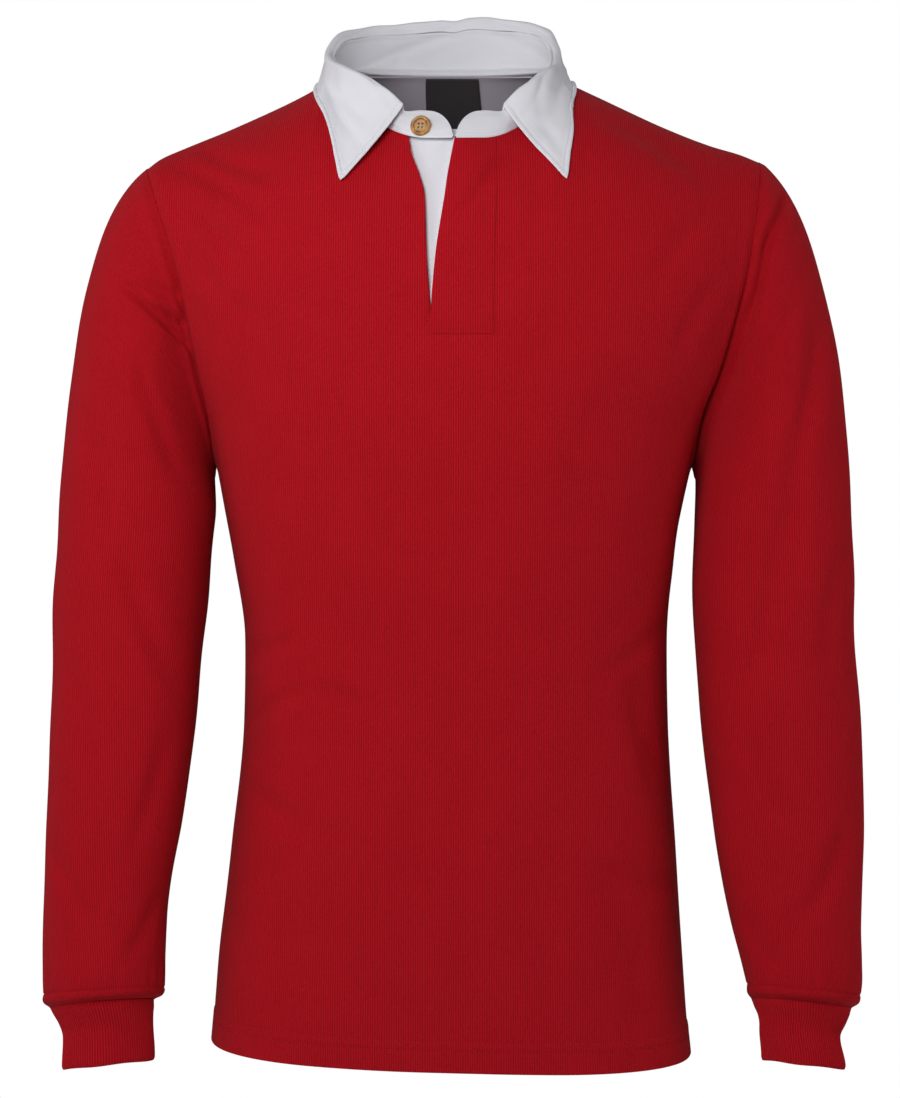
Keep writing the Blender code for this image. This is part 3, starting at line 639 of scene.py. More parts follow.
# Rows of a panel from the hem up: HEM_STEP apart at the hem and then about 4 mm.
LOW_ROWS = join(
    even(HEM, HEM + HEM_BAND, HEM_STEP),
    even(HEM + HEM_BAND, UNDERARM, 0.0040),
    even(UNDERARM, SLIT_FOOT, 0.0038),
)
HIGH_ROWS = join(even(SLIT_FOOT, TOP_ROWS[0], 0.0032), TOP_ROWS)
ALL_ROWS = join(LOW_ROWS, HIGH_ROWS)
print("a panel has", len(ALL_ROWS), "rows")

# %% A flat map of each panel
MAP_COLUMNS = 240
ARMHOLE_BEGINS = (UNDERARM - 0.010, UNDERARM + 0.014)
NO_SEAM = 0.03  # added to the distance from an armhole, so that no plain seam is near
LEAST_SLANT = 0.15  # least 1 - nx^2, so that a step beside a side seam stays finite


def flat_map(face):
    """Four numbers on an even grid: across the ribs, along them, to an edge, to a plain seam.

    An armhole is an edge but not a plain seam, because the sleeve's own cloth shapes it.
    The ribs stay close to upright planes: across them, a step in x is dx / sqrt(1 - nx^2)
    of cloth, where nx is the sideways part of the cloth's direction.
    """
    across = np.linspace(-1, 1, MAP_COLUMNS + 1)[None, :]
    grid = panel(face, across, ALL_ROWS[:, None])
    u, v = lengths(grid, 1), lengths(grid, 0)
    side, top = np.minimum(u, u[:, [-1]] - u), v[[-1]] - v
    beside_sleeve = smooth(*ARMHOLE_BEGINS, ALL_ROWS)[:, None]
    edge, seam = np.minimum(side, top), np.minimum(side + NO_SEAM * beside_sleeve, top)
    sideways = panel_normal(face, across, ALL_ROWS[:, None])[..., 0]
    slant = np.sqrt(np.clip(1 - sideways**2, LEAST_SLANT, 1))
    steps = np.diff(grid[..., 0], axis=1) / (slant[:, 1:] / 2 + slant[:, :-1] / 2)
    u = np.concatenate([np.zeros_like(steps[:, :1]), steps.cumsum(axis=1)], axis=1)
    return np.stack([u - u[:, [MAP_COLUMNS // 2]], v, edge, seam], axis=-1)


FLAT_MAPS = {face: flat_map(face) for face in FACES}


def flat_places(face, across, level):
    """The four numbers at any place of a panel, between the four nearest of its map."""
    across, level = np.broadcast_arrays(across, level)
    column = np.clip((across + 1) / 2 * MAP_COLUMNS, 0, MAP_COLUMNS - 1e-9)
    row = np.interp(level, ALL_ROWS, np.arange(len(ALL_ROWS)))
    row = np.clip(row, 0, len(ALL_ROWS) - 1 - 1e-9)
    c, r = column.astype(int), row.astype(int)
    s, t = (column - c)[..., None], (row - r)[..., None]
    here = FLAT_MAPS[face]
    low = (1 - s) * here[r, c] + s * here[r, c + 1]
    high = (1 - s) * here[r + 1, c] + s * here[r + 1, c + 1]
    return (1 - t) * low + t * high


print("the front's side is at most", FLAT_MAPS[-1][:, -1, 0].max().round(3), "m from its middle")

# %% [markdown]
# ## The hem
#
# The hem is the panel's own edge, turned up and held by two rows of cover stitch.  The
# double cloth stands out a little, and each row of stitches draws it in.  The rows of the
# mesh are 1 mm apart there, so that this is real shape.

# %% The height of a panel's cloth over its plain form
HEM_STITCH = (0.0150, 0.0210)
HEM_PUFF = 0.0007
HEM_DIP = 0.00045
HEM_PUCKER = 0.00018
PUCKER_SOFT = 0.006
STITCH_SOFT = 0.0009
SEAM_DIP = (-0.0008, 0.0, 0.0032)
SEAM_PUFF = 0.0014
PUFF_LINE = 0.0065
PUFF_SOFT = 0.0042
BODY_UNEVEN = 0.0009
LOOSE = (0.002, 0.020)  # folds begin and are whole at these distances from an edge


def hem_height(level, u):
    """Double cloth below the stitches, a dip at each row of them, and a pucker between."""
    up = level - HEM
    step = HEM_PUFF * smooth(HEM_STITCH[1] + 0.002, HEM_STITCH[1] - 0.001, up)
    pucker = HEM_PUCKER * np.sin(u * 820 + 2 * np.sin(u * 95))
    dips = [(-HEM_DIP, row, STITCH_SOFT) for row in HEM_STITCH]
    return banded(step, up, [*dips, (pucker, sum(HEM_STITCH) / 2, PUCKER_SOFT)])


def on_panel(face, across, level, out=0.0):
    """Points over a panel at a distance `out`, their flat places, and the outward directions.

    Height is folds + unevenness + hem along the normal, with a dip at each plain seam and a
    puff beside an armhole.
    """
    level = np.asarray(level, float)
    points, normals = panel(face, across, level), panel_normal(face, across, level)
    u, v, edge, seam = np.moveaxis(flat_places(face, across, level), -1, 0)
    loose = smooth(*LOOSE, edge)
    rows = FRONT_FOLDS if face < 0 else BACK_FOLDS
    height = folds(rows, points, face * normals[..., 1]) * loose
    height = height + unevenness(points, BODY_UNEVEN) * loose
    puff = SEAM_PUFF * smooth(0.0, 0.02, seam - edge)
    height = banded(height, edge, [(puff, PUFF_LINE, PUFF_SOFT)])
    height = banded(height, seam, [SEAM_DIP]) + hem_height(level, u)
    return points + (height + out)[..., None] * normals, np.stack([u, v], axis=-1), normals


print("the hem stands out by", hem_height(HEM + 0.008, 0.0).round(5), "m")

# %% [markdown]
# ## Back and front
#
# The back is one grid.  The front has a slit, so its grid is in three blocks: one below
# the slit and one at each side of it, whose inner columns lean to the slit's edge.  All
# blocks use the same numbers along the lines they share, so they weld without a step.

# %% Columns of the front and back
EDGE_LINES = np.array([0, 0.004, 0.009, 0.015, 0.022])
SLIT_LINES = np.array([0.9, 0.94, 0.965, 0.985, 1])
OUTER_COLUMNS, INNER_COLUMNS, BACK_COLUMNS = 44, 24, 68
ASIDE_STEP = 0.02


def aside(face, level, distance):
    """The across value at a distance from the slit line or from the middle of the back."""
    level = np.asarray(level, float)
    span = panel(face, ASIDE_STEP, level) - panel(face, -ASIDE_STEP, level)
    return distance / (span[..., 0] / (2 * ASIDE_STEP))


def slit_edge(side, level):
    """The across value of the slit's right (-1) or left (+1) edge."""
    return aside(-1, level, read(SLIT, SIDES[side], level))


def half_across(side, rows):
    """Across values from a panel's edge to the slit: fixed to the neck point, then leaning."""
    outer = join(EDGE_LINES - 1, np.linspace(EDGE_LINES[-1] - 1, -NECK_SHARE, OUTER_COLUMNS))
    share = join(np.linspace(0, SLIT_LINES[0], INNER_COLUMNS), SLIT_LINES)[1:]
    edge = np.where(rows > SLIT_FOOT, slit_edge(side, rows), 0)[:, None]
    inner = -NECK_SHARE + share * (NECK_SHARE - side * edge)
    outer = np.broadcast_to(outer, (len(rows), len(outer)))
    whole = np.concatenate([outer, inner], axis=1)
    return whole if side < 0 else -whole[:, ::-1]


low_right, low_left = half_across(-1, LOW_ROWS), half_across(1, LOW_ROWS)
low_across = np.concatenate([low_right, low_left[:, 1:]], axis=1)
back_side = join(EDGE_LINES - 1, np.linspace(EDGE_LINES[-1] - 1, 0, BACK_COLUMNS))
back_across = join(back_side, -back_side[::-1])[None, :]
print("columns in front and behind:", low_across.shape[1], back_across.size)

# %% Sew the front and the back
PANEL_RIM = 0.0005
front_blocks = [
    on_panel(-1, low_across, LOW_ROWS[:, None]),
    on_panel(-1, half_across(-1, HIGH_ROWS), HIGH_ROWS[:, None]),
    on_panel(-1, half_across(1, HIGH_ROWS), HIGH_ROWS[:, None]),
]
back_block = on_panel(1, back_across, ALL_ROWS[:, None])
sew("front_panel", "front", "body_knit", [block[:2] for block in front_blocks], KNIT, PANEL_RIM)
sew("back_panel", "back", "body_knit", [back_block[:2]], KNIT, PANEL_RIM, inside_out=True)

# %% [markdown]
# ## Sleeves
#
# A set-in sleeve starts at the armhole and hangs down the arm.  Its grid has one ring at
# the armhole line, curves that swing from there into the first whole ring of the arm, and
# rings down to the cuff.  The underarm seam is where the grid closes.

# %% Sizes of the sleeves and cuffs
ARMHOLE_GAP = 0.0005
ARMHOLE_TUCK = np.array([0.0032, 0.0022, 0.0012, 0.0005])
HEAD_START = 0.245  # the curve's handles, as shares of its span
HEAD_END = 0.32
SLEEVE_FLAT = 0.16
FLAT_LEVELS = (-0.66, -0.60)
CUFF_LENGTH = 0.0435
CUFF_TILT = 0.0035
CUFF_LIFT = 0.0095
CUFF_SQUARE = 0.0034
CUFF_LEVELS = (-0.59, -0.66)
CUFF_TOPSTITCH = 0.0122

SLEEVE = table(
    "height mid_right half_right mid_left half_left forward depth",
    [
        (-0.6760, 0.2552, 0.0384, 0.2551, 0.0369, 0.047, 0.0390),
        (-0.6680, 0.2540, 0.0443, 0.2567, 0.0410, 0.047, 0.0450),
        (-0.6150, 0.2531, 0.0449, 0.2509, 0.0471, 0.040, 0.0480),
        (-0.5430, 0.2465, 0.0497, 0.2461, 0.0552, 0.030, 0.0540),
        (-0.4560, 0.2396, 0.0535, 0.2392, 0.0590, 0.019, 0.0600),
        (-0.3830, 0.2354, 0.0564, 0.2356, 0.0586, 0.010, 0.0620),
        (-0.3250, 0.2309, 0.0569, 0.2352, 0.0575, 0.005, 0.0625),
    ],
)
CUFF = table(
    "share mid_right half_right mid_left half_left depth",
    [
        (0.00, 0.2552, 0.0384, 0.2551, 0.0369, 0.0390),
        (0.22, 0.2528, 0.0345, 0.2555, 0.0322, 0.0355),
        (0.45, 0.2512, 0.0329, 0.2542, 0.0294, 0.0330),
        (0.95, 0.2506, 0.0338, 0.2572, 0.0306, 0.0340),
        (1.00, 0.2506, 0.0332, 0.2572, 0.0300, 0.0334),
    ],
)
SLEEVE_TOP = SLEEVE["height"][-1]
SLEEVE_END = SLEEVE["height"][0]
print("a sleeve's whole rings go from", SLEEVE_TOP, "down to", SLEEVE_END)


# %% A sleeve's rings
def cuff_rise(angle):
    """The sleeve's end is square to the arm, which is bent: its front is higher than its back."""
    return CUFF_LIFT * np.sin(angle) - CUFF_TILT * np.cos(angle)


def squarer(wave, power):
    """A sine or cosine raised to a power, with its own sign."""
    return np.sign(wave) * np.abs(wave) ** power


def sleeve_ring(side, around, height):
    """Ring of a sleeve: around 0 is its outer line, 0.25 the front.

    It is |x|^(2/p) + |y|^(2/p) = 1: a plain ellipse at the cuff, with p = 1, and one with a
    flatter front and back in the arm, with p = 1 - SLEEVE_FLAT.
    """
    angle = 2 * np.pi * around
    mid = read(SLEEVE, "mid_" + SIDES[side], height)
    half = read(SLEEVE, "half_" + SIDES[side], height)
    power = 1 - SLEEVE_FLAT * smooth(*FLAT_LEVELS, height)
    x = side * (mid + half * squarer(np.cos(angle), power))
    deep = read(SLEEVE, "depth", height) * squarer(np.sin(angle), power)
    y = -read(SLEEVE, "forward", height) - deep
    return stack(x, y, height + smooth(*CUFF_LEVELS, height) * cuff_rise(angle))


print("outer line at the right cuff:", sleeve_ring(-1, 0.0, SLEEVE_END).round(4))


# %% A sleeve's head
ARMHOLE_STEPS = np.array([0, 5, 12])
ARMHOLE_LEVELS = np.array([UNDERARM, SLIT_FOOT, 0])
HEAD_OUT = (0.56, 0.22)
HEAD_FORWARD = 0.30
HEAD_DOWN = (0.75, 0.13)


def armhole(side, around, surface):
    """Armhole line, 0 at the shoulder point and 0.5 underarm: its places or its directions."""
    level = np.interp(np.abs(1 - 2 * around) * ARMHOLE_STEPS[-1], ARMHOLE_STEPS, ARMHOLE_LEVELS)
    front_share = np.where(around < 0.5, 1.0, 0.0)
    front_share = np.where((around == 0) | (around == 0.5), 0.5, front_share)[..., None]
    return front_share * surface(-1, side, level) + (1 - front_share) * surface(1, side, level)


def sleeve_head(side, around, share):
    """Bezier curve from the armhole to the first whole ring, for each place around.

    At turn t of the armhole it leaves in the direction a + b cos(t) outwards, c sin(t)
    forwards and d - e cos(t) down, which is closer to level at the shoulder than underarm.
    """
    angle = 2 * np.pi * around
    leave = unit(
        stack(
            side * (HEAD_OUT[0] + HEAD_OUT[1] * np.cos(angle)),
            -HEAD_FORWARD * np.sin(angle),
            -HEAD_DOWN[0] + HEAD_DOWN[1] * np.cos(angle),
        )
    )
    start = armhole(side, around, panel) + ARMHOLE_GAP * unit(leave + (side, 0, 0))
    end = sleeve_ring(side, around, SLEEVE_TOP)
    down = unit(sleeve_ring(side, around, SLEEVE_TOP - 0.01) - end)
    reach = np.linalg.norm(end - start, axis=-1, keepdims=True)
    handles = start + HEAD_START * reach * leave, end - HEAD_END * reach * down
    return bezier(start, *handles, end, share)


# %% The height of a sleeve's cloth over its plain form
SLEEVE_UNEVEN = 0.0010
HEAD_PUFF_LINE = 0.0080
SLEEVE_GATHER = 0.00035
SLEEVE_END_BANDS = [(-0.0007, CUFF_TOPSTITCH, STITCH_SOFT), (0.0009, 0.0064, 0.0036)]


def grid_normals(points, outward, wrap=True):
    """Directions off a grid: cross product of the steps to its neighbours both ways."""
    if wrap:
        wide = np.concatenate([points[:, [-2]], points, points[:, [1]]], axis=1)
        across = wide[:, 2:] - wide[:, :-2]
    else:
        across = np.gradient(points, axis=1)
    return outward * unit(np.cross(across, np.gradient(points, axis=0)))


def sleeve_height(side, points, normals, flat, around):
    """Folds, unevenness, the sunk seams, and the puffed and gathered end over the cuff."""
    facing = -normals[..., 1]
    height = folds(SLEEVE_FRONT_FOLDS, points, facing) + folds(SLEEVE_BACK_FOLDS, points, -facing)
    u, v = flat[..., 0], flat[..., 1]
    from_head, from_end = v, v[[-1]] - v
    from_side = np.minimum(u - u[:, [0]], u[:, [-1]] - u) + 0.02 * smooth(0.012, 0.0, from_head)
    seam = np.minimum(from_end, from_side)
    loose = smooth(0.0, 0.005, from_head) * smooth(0.002, 0.018, from_end)
    height = (height + unevenness(points, SLEEVE_UNEVEN)) * loose
    height = banded(height, seam, [SEAM_DIP])
    puff = SEAM_PUFF * smooth(0.25, 0.70, np.abs(normals[..., 1]))
    height = banded(height, from_head, [(puff, HEAD_PUFF_LINE, PUFF_SOFT)])
    turn = 2 * np.pi * around
    gather = np.sin(17 * turn + 2.0 * np.sin(3 * turn + side)) + 0.5 * np.sin(29 * turn + 1)
    gathers = (SLEEVE_GATHER * gather, 0.021, 0.010)
    return banded(height, from_end, [*SLEEVE_END_BANDS, gathers])


# %% Sew the sleeves
SLEEVE_COLUMNS = 181
SLEEVE_AROUND = np.mod(np.linspace(-0.5, 0.5, SLEEVE_COLUMNS), 1.0)[None, :]
HEAD_SHARES = join(np.array([0, 0.006, 0.013, 0.022, 0.034, 0.05]), np.linspace(0.05, 1, 72))
FINE_LEVEL = SLEEVE_END + 0.022
ARM_HEIGHTS = join(even(SLEEVE_TOP, FINE_LEVEL, 0.0039), even(FINE_LEVEL, SLEEVE_END, 0.0010))


def sleeve(side):
    """Plain form of a sleeve, then the cloth over it, with its flat places and directions.

    Its first rows turn in behind the body's edge, as a seam's spare cloth does.
    """
    head = sleeve_head(side, *np.broadcast_arrays(SLEEVE_AROUND, HEAD_SHARES[:, None]))
    tuck = head[:1] - ARMHOLE_TUCK[:, None, None] * armhole(side, SLEEVE_AROUND, panel_normal)
    arm = sleeve_ring(side, SLEEVE_AROUND, ARM_HEIGHTS[1:, None])
    plain = np.concatenate([tuck, head, arm])
    normals = grid_normals(plain, side)
    u, v = lengths(plain, 1), lengths(plain, 0)
    flat = np.stack([u - u[:, [SLEEVE_COLUMNS // 2]], v - v[[len(tuck)]]], axis=-1)
    height = sleeve_height(side, plain, normals, flat, SLEEVE_AROUND)
    return plain + height[..., None] * normals, flat, normals


sleeves = {side: sleeve(side) for side in SIDES}
for side, name in SIDES.items():
    block = sleeves[side][:2]
    sew(f"sleeve_cloth_{name}", f"sleeve_{name}", "body_knit", [block], KNIT, 0.0002, side < 0)

# %% [markdown]
# ## Cuffs
#
# The cuff is a separate tube of coarse rib that grips the wrist.  Its ribs are large
# enough to see as shape, so each one gets six columns of the grid: a round ridge,
# |cos|^0.8, with a narrow groove.  They spread where the cuff widens into the sleeve.

# %% Sew the cuffs
CUFF_RIBS = 104
RIB_COLUMNS = 6
RIB_PITCH = 0.0021
RIB_DEPTH = 0.00042
CUFF_WAVE = 0.0006
CUFF_RIM = 0.0007
CUFF_SHARES = join(even(0, 0.14, 0.014), even(0.14, 0.92, 0.045), even(0.92, 1, 0.02))[:, None]


def cuff(side):
    """Ring whose middle and half widths follow the table, with ribs along its normal."""
    share, name = CUFF_SHARES, SIDES[side]
    place = np.linspace(-0.5, 0.5, CUFF_RIBS * RIB_COLUMNS + 1)[None, :]
    around = np.mod(place, 1.0)
    angle = 2 * np.pi * around
    x = read(CUFF, "mid_" + name, share) + read(CUFF, "half_" + name, share) * np.cos(angle)
    y = -SLEEVE["forward"][0] - read(CUFF, "depth", share) * np.sin(angle)
    z = SLEEVE_END - SEAM - CUFF_LENGTH * share + cuff_rise(angle)
    z = z - CUFF_SQUARE * share * np.sin(angle)
    plain = stack(side * x, y, z)
    normals = grid_normals(plain, side)
    ridge = np.abs(np.cos(np.pi * CUFF_RIBS * around)) ** 0.8
    fade = smooth(-0.03, 0.16, share) * (0.6 + 0.4 * smooth(1.0, 0.94, share))
    uneven_ribs = 0.85 + 0.15 * np.sin(angle * 9 + 6 * share + side)
    height = RIB_DEPTH * (ridge - 0.6) * fade * uneven_ribs
    height = height + CUFF_WAVE * np.sin(5 * angle + 2 * side + 3 * share) * share
    height = banded(height, share * CUFF_LENGTH, [SEAM_DIP])
    u, v = np.broadcast_arrays(place * CUFF_RIBS * RIB_PITCH, share * CUFF_LENGTH)
    return plain + height[..., None] * normals, np.stack([u, v], axis=-1)


for side, name in SIDES.items():
    sew(f"cuff_knit_{name}", f"cuff_{name}", "cuff_rib", [cuff(side)], KNIT, CUFF_RIM, side < 0)

# %% [markdown]
# ## The collar stand
#
# The stand is a band of twill sewn to the neckline, doubled over the edge of the knit, so
# it is thick at its foot all round the back.  Its two front ends are rounded.  The surface
# runs straight from the neck ring towards the fold, with a slight outward bow.

# %% Sizes of the collar
FOLD_HALF_WIDTH = 0.085
FOLD_BACK = 0.069
FOLD_FRONT = 0.077
ROLL_RADIUS = 0.0032
STAND_ENDS = (-179.4, 178.4)
STAND_CORNER = 0.014
STAND_OUT = 0.0017
STAND_DROP = (0.0015, 0.0027)  # how far its foot covers the knit: in front, and at the back
STAND_BACK_TURNS = (150, 118)  # from its ends' plain foot to the thick foot of the back
STAND_BOW = 0.006
LEAF_TURN = 155.0

FOLD_LEAN = table(
    "turn out up",
    [
        (-180.0, 0.0000, 0.0000),
        (-110.0, -0.0010, 0.0000),
        (-75.0, -0.0025, -0.0015),
        (-50.0, -0.0010, -0.0036),
        (-30.0, 0.0000, -0.0034),
        (-12.0, 0.0000, -0.0016),
        (-2.0, 0.0000, -0.0002),
        (4.0, 0.0000, -0.0010),
        (12.0, 0.0000, 0.0018),
        (17.0, 0.0000, 0.0022),
        (30.0, 0.0000, 0.0006),
        (50.0, 0.0000, 0.0002),
        (75.0, -0.0045, -0.0030),
        (100.0, -0.0060, -0.0040),
        (130.0, -0.0020, 0.0000),
        (180.0, 0.0000, 0.0000),
    ],
)
COLLAR = table(
    "turn fold seam edge_x edge_y edge_z",
    [
        (0.0, 0.0435, 0.78, 0.0000, 0.100, -0.0160),
        (30.0, 0.0430, 0.78, 0.0500, 0.092, -0.0150),
        (60.0, 0.0365, 0.78, 0.0835, 0.055, -0.0110),
        (85.0, 0.0210, 0.78, 0.0935, 0.004, -0.0090),
        (105.0, 0.0120, 0.78, 0.0900, -0.032, -0.0270),
        (130.0, 0.0010, 0.80, 0.0855, -0.066, -0.0500),
        (145.0, -0.0115, 0.81, 0.0825, -0.086, -0.0660),
        (155.0, -0.0240, 0.83, 0.0800, -0.100, -0.0775),
        (165.0, -0.0275, 1.00, 0.0760, -0.112, -0.0860),
        (180.0, -0.0285, 1.00, 0.0700, -0.130, -0.1000),
    ],
)
print("the collar's table has", len(COLLAR["turn"]), "rows")

# %% Creases of the collar
STAND_CREASES = table(
    FOLD_NAMES,
    [
        (-0.072, 0.004, 0.006, 0.033, 0.003, 0.0042, 0.0012),
        (0.022, 0.034, 0.075, 0.010, 0.003, 0.0046, 0.0012),
        (-0.046, 0.008, -0.028, 0.022, 0.000, 0.0030, 0.0006),
        (-0.016, 0.012, 0.002, 0.024, 0.000, 0.0034, 0.0005),
        (0.036, 0.010, 0.056, 0.007, 0.000, 0.0030, 0.0006),
        (-0.080, 0.000, -0.062, 0.006, 0.001, 0.0040, 0.0008),
    ],
)
LEAF_CREASES = table(
    FOLD_NAMES,
    [
        (-0.084, 0.026, -0.030, 0.038, 0.002, 0.0020, 0.0009),
        (-0.052, 0.032, 0.012, 0.0440, -0.001, 0.0022, 0.0009),
        (0.016, 0.044, 0.050, 0.036, 0.002, 0.0024, 0.0008),
        (0.044, 0.034, 0.076, 0.027, 0.002, 0.0024, 0.0008),
        (-0.079, 0.012, -0.052, -0.010, 0.002, 0.0026, 0.0010),
        (-0.064, 0.000, -0.040, -0.030, 0.003, 0.0024, 0.0008),
        (-0.092, -0.010, -0.060, -0.040, 0.004, 0.0060, 0.0010),
        (-0.082, -0.030, -0.062, -0.058, 0.002, 0.0050, 0.0009),
        (-0.086, 0.004, -0.088, -0.030, 0.002, 0.0050, 0.0009),
        (0.072, 0.010, 0.062, -0.030, -0.003, 0.0040, 0.0011),
        (0.080, 0.000, 0.086, -0.040, 0.002, 0.0045, 0.0009),
        (0.066, -0.004, 0.048, -0.034, 0.002, 0.0026, 0.0009),
        (0.060, -0.034, 0.078, -0.058, 0.002, 0.0050, 0.0010),
        (0.082, -0.046, 0.078, -0.070, 0.000, 0.0040, 0.0006),
    ],
)
print("creases on stand and leaf:", len(STAND_CREASES["bow"]), len(LEAF_CREASES["bow"]))


# %% The stand as a surface
def fold_ring(turn):
    """Line along the top of the collar, where the leaf turns over; it leans a little."""
    half_width = FOLD_HALF_WIDTH + read(FOLD_LEAN, "out", turn)
    x, y = turned(half_width, FOLD_BACK, FOLD_FRONT, turn)
    return stack(x, y, read(COLLAR, "fold", np.abs(turn)) + read(FOLD_LEAN, "up", turn))


def stand_surface(turn, share):
    """foot + share * (top - foot) + STAND_BOW * share * (1 - share) outwards."""
    outward = unit(fold_ring(turn) * (1, 1, 0) - (CENTRE_FRONT_X, 0, 0))
    at_back = smooth(*STAND_BACK_TURNS, np.abs(turn))
    drop = STAND_DROP[0] + (STAND_DROP[1] - STAND_DROP[0]) * at_back
    foot = neck_ring(turn) + STAND_OUT * outward - stack(0, 0, drop)
    up = read(COLLAR, "seam", np.abs(turn))[..., None]
    top = foot + up * (fold_ring(turn) - foot)
    share = np.asarray(share)[..., None]
    return foot + share * (top - foot) + STAND_BOW * share * (1 - share) * outward


print("top of the stand behind:", stand_surface(0.0, 1.0).round(4))

# %% Sew the stand
STAND_NEAR = np.array([0, 0.3, 0.7, 1.2, 1.9, 2.8, 3.9, 5.2, 6.8, 8.5])
STAND_MIDDLE = even(STAND_ENDS[0] + STAND_NEAR[-1], STAND_ENDS[1] - STAND_NEAR[-1], 1.5)
STAND_TURNS = join(STAND_ENDS[0] + STAND_NEAR, STAND_MIDDLE, (STAND_ENDS[1] - STAND_NEAR)[::-1])
STAND_SHARES = join(even(0, 0.3, 0.03), even(0.3, 0.86, 0.07), even(0.86, 1, 0.035))[:, None]
STAND_STITCH = {"top": 0.0028, "foot": 0.0036}
STAND_DIP = 0.0003
STAND_LEAST_HEIGHT = 0.14
STAND_FOOT_THICK = 3.4


def stand():
    """Grid of the stand; its height follows a quarter circle near each end.

    Its wall is thin under the stitches, and thick at the foot of the back.
    """
    turns = STAND_TURNS
    along = lengths(neck_ring(turns)[None], 1)[0]
    corner = np.clip(np.minimum(along, along[-1] - along) / STAND_CORNER, 0, 1)
    height = np.clip(np.sqrt(1 - (1 - corner) ** 2), STAND_LEAST_HEIGHT, 1)
    points = stand_surface(turns, height * STAND_SHARES)
    normals = grid_normals(points, -1, wrap=False)
    up = lengths(points, 0)
    dip = banded(0.0, up[[-1]] - up, [(1.0, STAND_STITCH["top"], STITCH_SOFT)])
    dip = banded(dip, up, [(0.8, STAND_STITCH["foot"], STITCH_SOFT)])
    points = points - (STAND_DIP * dip)[..., None] * normals
    points = points - folds(STAND_CREASES, points, normals[..., 1])[..., None] * normals
    at_back = smooth(*STAND_BACK_TURNS, np.abs(turns))
    thick = 1 - 0.45 * dip + STAND_FOOT_THICK * at_back * smooth(0.0062, 0.0022, up)
    flat = np.stack([lengths(points, 1), up], axis=-1)
    return points, flat, thick, normals


stand_grid = stand()
sew("stand_band", "collar_stand", "collar_twill", [stand_grid[:3]], TWILL, 0.0004, inside_out=True)

# %% [markdown]
# ## The collar leaf
#
# The leaf is sewn to the top of the stand inside, rolls over, and falls outside to its
# edge, with a point at each front corner.  Its plain form may dip into the shoulder, so it
# is then settled: each point closer than the clearance to the knit is pushed out, and the
# push is shared with its neighbours, a few rounds over.  Its edge is turned and
# topstitched, so it is round there and dips under the stitches.


# %% The leaf's edge, rows and columns
LEFT_EDGE_IN = 0.0026
LEAF_NEAR = np.array([0, 0.35, 0.8, 1.4, 2.1, 2.9, 3.8, 4.8, 6.0])
LEAF_MIDDLE = even(LEAF_NEAR[-1] - LEAF_TURN, LEAF_TURN - LEAF_NEAR[-1], 1.6)
LEAF_TURNS = join(LEAF_NEAR - LEAF_TURN, LEAF_MIDDLE, LEAF_TURN - LEAF_NEAR[::-1])
EDGE_STEPS = np.array([6.5, 5.6, 5.0, 4.5, 4.0, 3.5, 3.0, 2.2, 1.4, 0.7, 0]) / 1000
INSIDE_ROWS, ROLL_ROWS, FALL_ROWS = 7, 11, 22


def leaf_edge(turns):
    """Lower edge of the leaf; on the left it hangs closer in beside the chest."""
    turn = np.abs(turns)
    closer = LEFT_EDGE_IN * smooth(95, 125, turns) * smooth(160, 140, turns)
    return stack(
        collar_middle(turns) + np.sign(turns) * read(COLLAR, "edge_x", turn) - closer,
        read(COLLAR, "edge_y", turn),
        read(COLLAR, "edge_z", turn),
    )


print("the leaf's grid has", LEAF_TURNS.size, "columns")

# %% The leaf's plain form
LEAF_SEAM_RISE = 0.0011
FALL_LEAVE, FALL_ARRIVE = 0.26, 0.35
FALL_LONGER = 1.03  # the fall's curve against its straight depth


def leaf_form():
    """Straight up the inside, a half circle over the roll, and a bezier curve down.

    The last rows of the fall follow its edge at the distances in EDGE_STEPS.
    """
    turns = LEAF_TURNS
    fold, foot = fold_ring(turns), stand_surface(turns, 1.0)
    along = unit(np.gradient(fold, axis=0))
    rise = unit(fold - foot)
    out = unit(np.cross(rise, along))
    start = foot + rise * LEAF_SEAM_RISE - out * TWILL
    middle = fold - rise * ROLL_RADIUS + out * ROLL_RADIUS
    inner_top = middle - out * ROLL_RADIUS
    inside = start + (inner_top - start) * np.linspace(0, 1, INSIDE_ROWS)[:-1, None, None]
    angle = np.radians(np.linspace(180, 0, ROLL_ROWS))[:, None, None]
    roll = middle + ROLL_RADIUS * (np.cos(angle) * out + np.sin(angle) * rise)
    edge = leaf_edge(turns)
    depth = np.linalg.norm(edge - roll[-1], axis=-1, keepdims=True)
    straight = unit(edge - roll[-1])
    leave, arrive = unit(4 * straight - rise), unit(straight + 0.06 * out)
    last = 1 - EDGE_STEPS[:, None] / (FALL_LONGER * depth[:, 0])
    share = np.concatenate([np.linspace(0, 1, FALL_ROWS)[1:-1, None] * last[0], last])
    handles = roll[-1] + FALL_LEAVE * depth * leave, edge - FALL_ARRIVE * depth * arrive
    return inside, roll, bezier(roll[-1], *handles, edge, share)


# %% Push the leaf clear of the knit
GROUND_ROWS = 70
GROUND_REACH = 0.03


def near_neck(part):
    """Every second column of the panels' highest rows: their points (0) or directions (2)."""
    grids = [block[part][-GROUND_ROWS:, ::2] for block in [*front_blocks, back_block]]
    return np.concatenate([grid.reshape(-1, 3) for grid in grids])


ground, ground_out = near_neck(0), near_neck(2)
print("knit points under the collar:", len(ground))


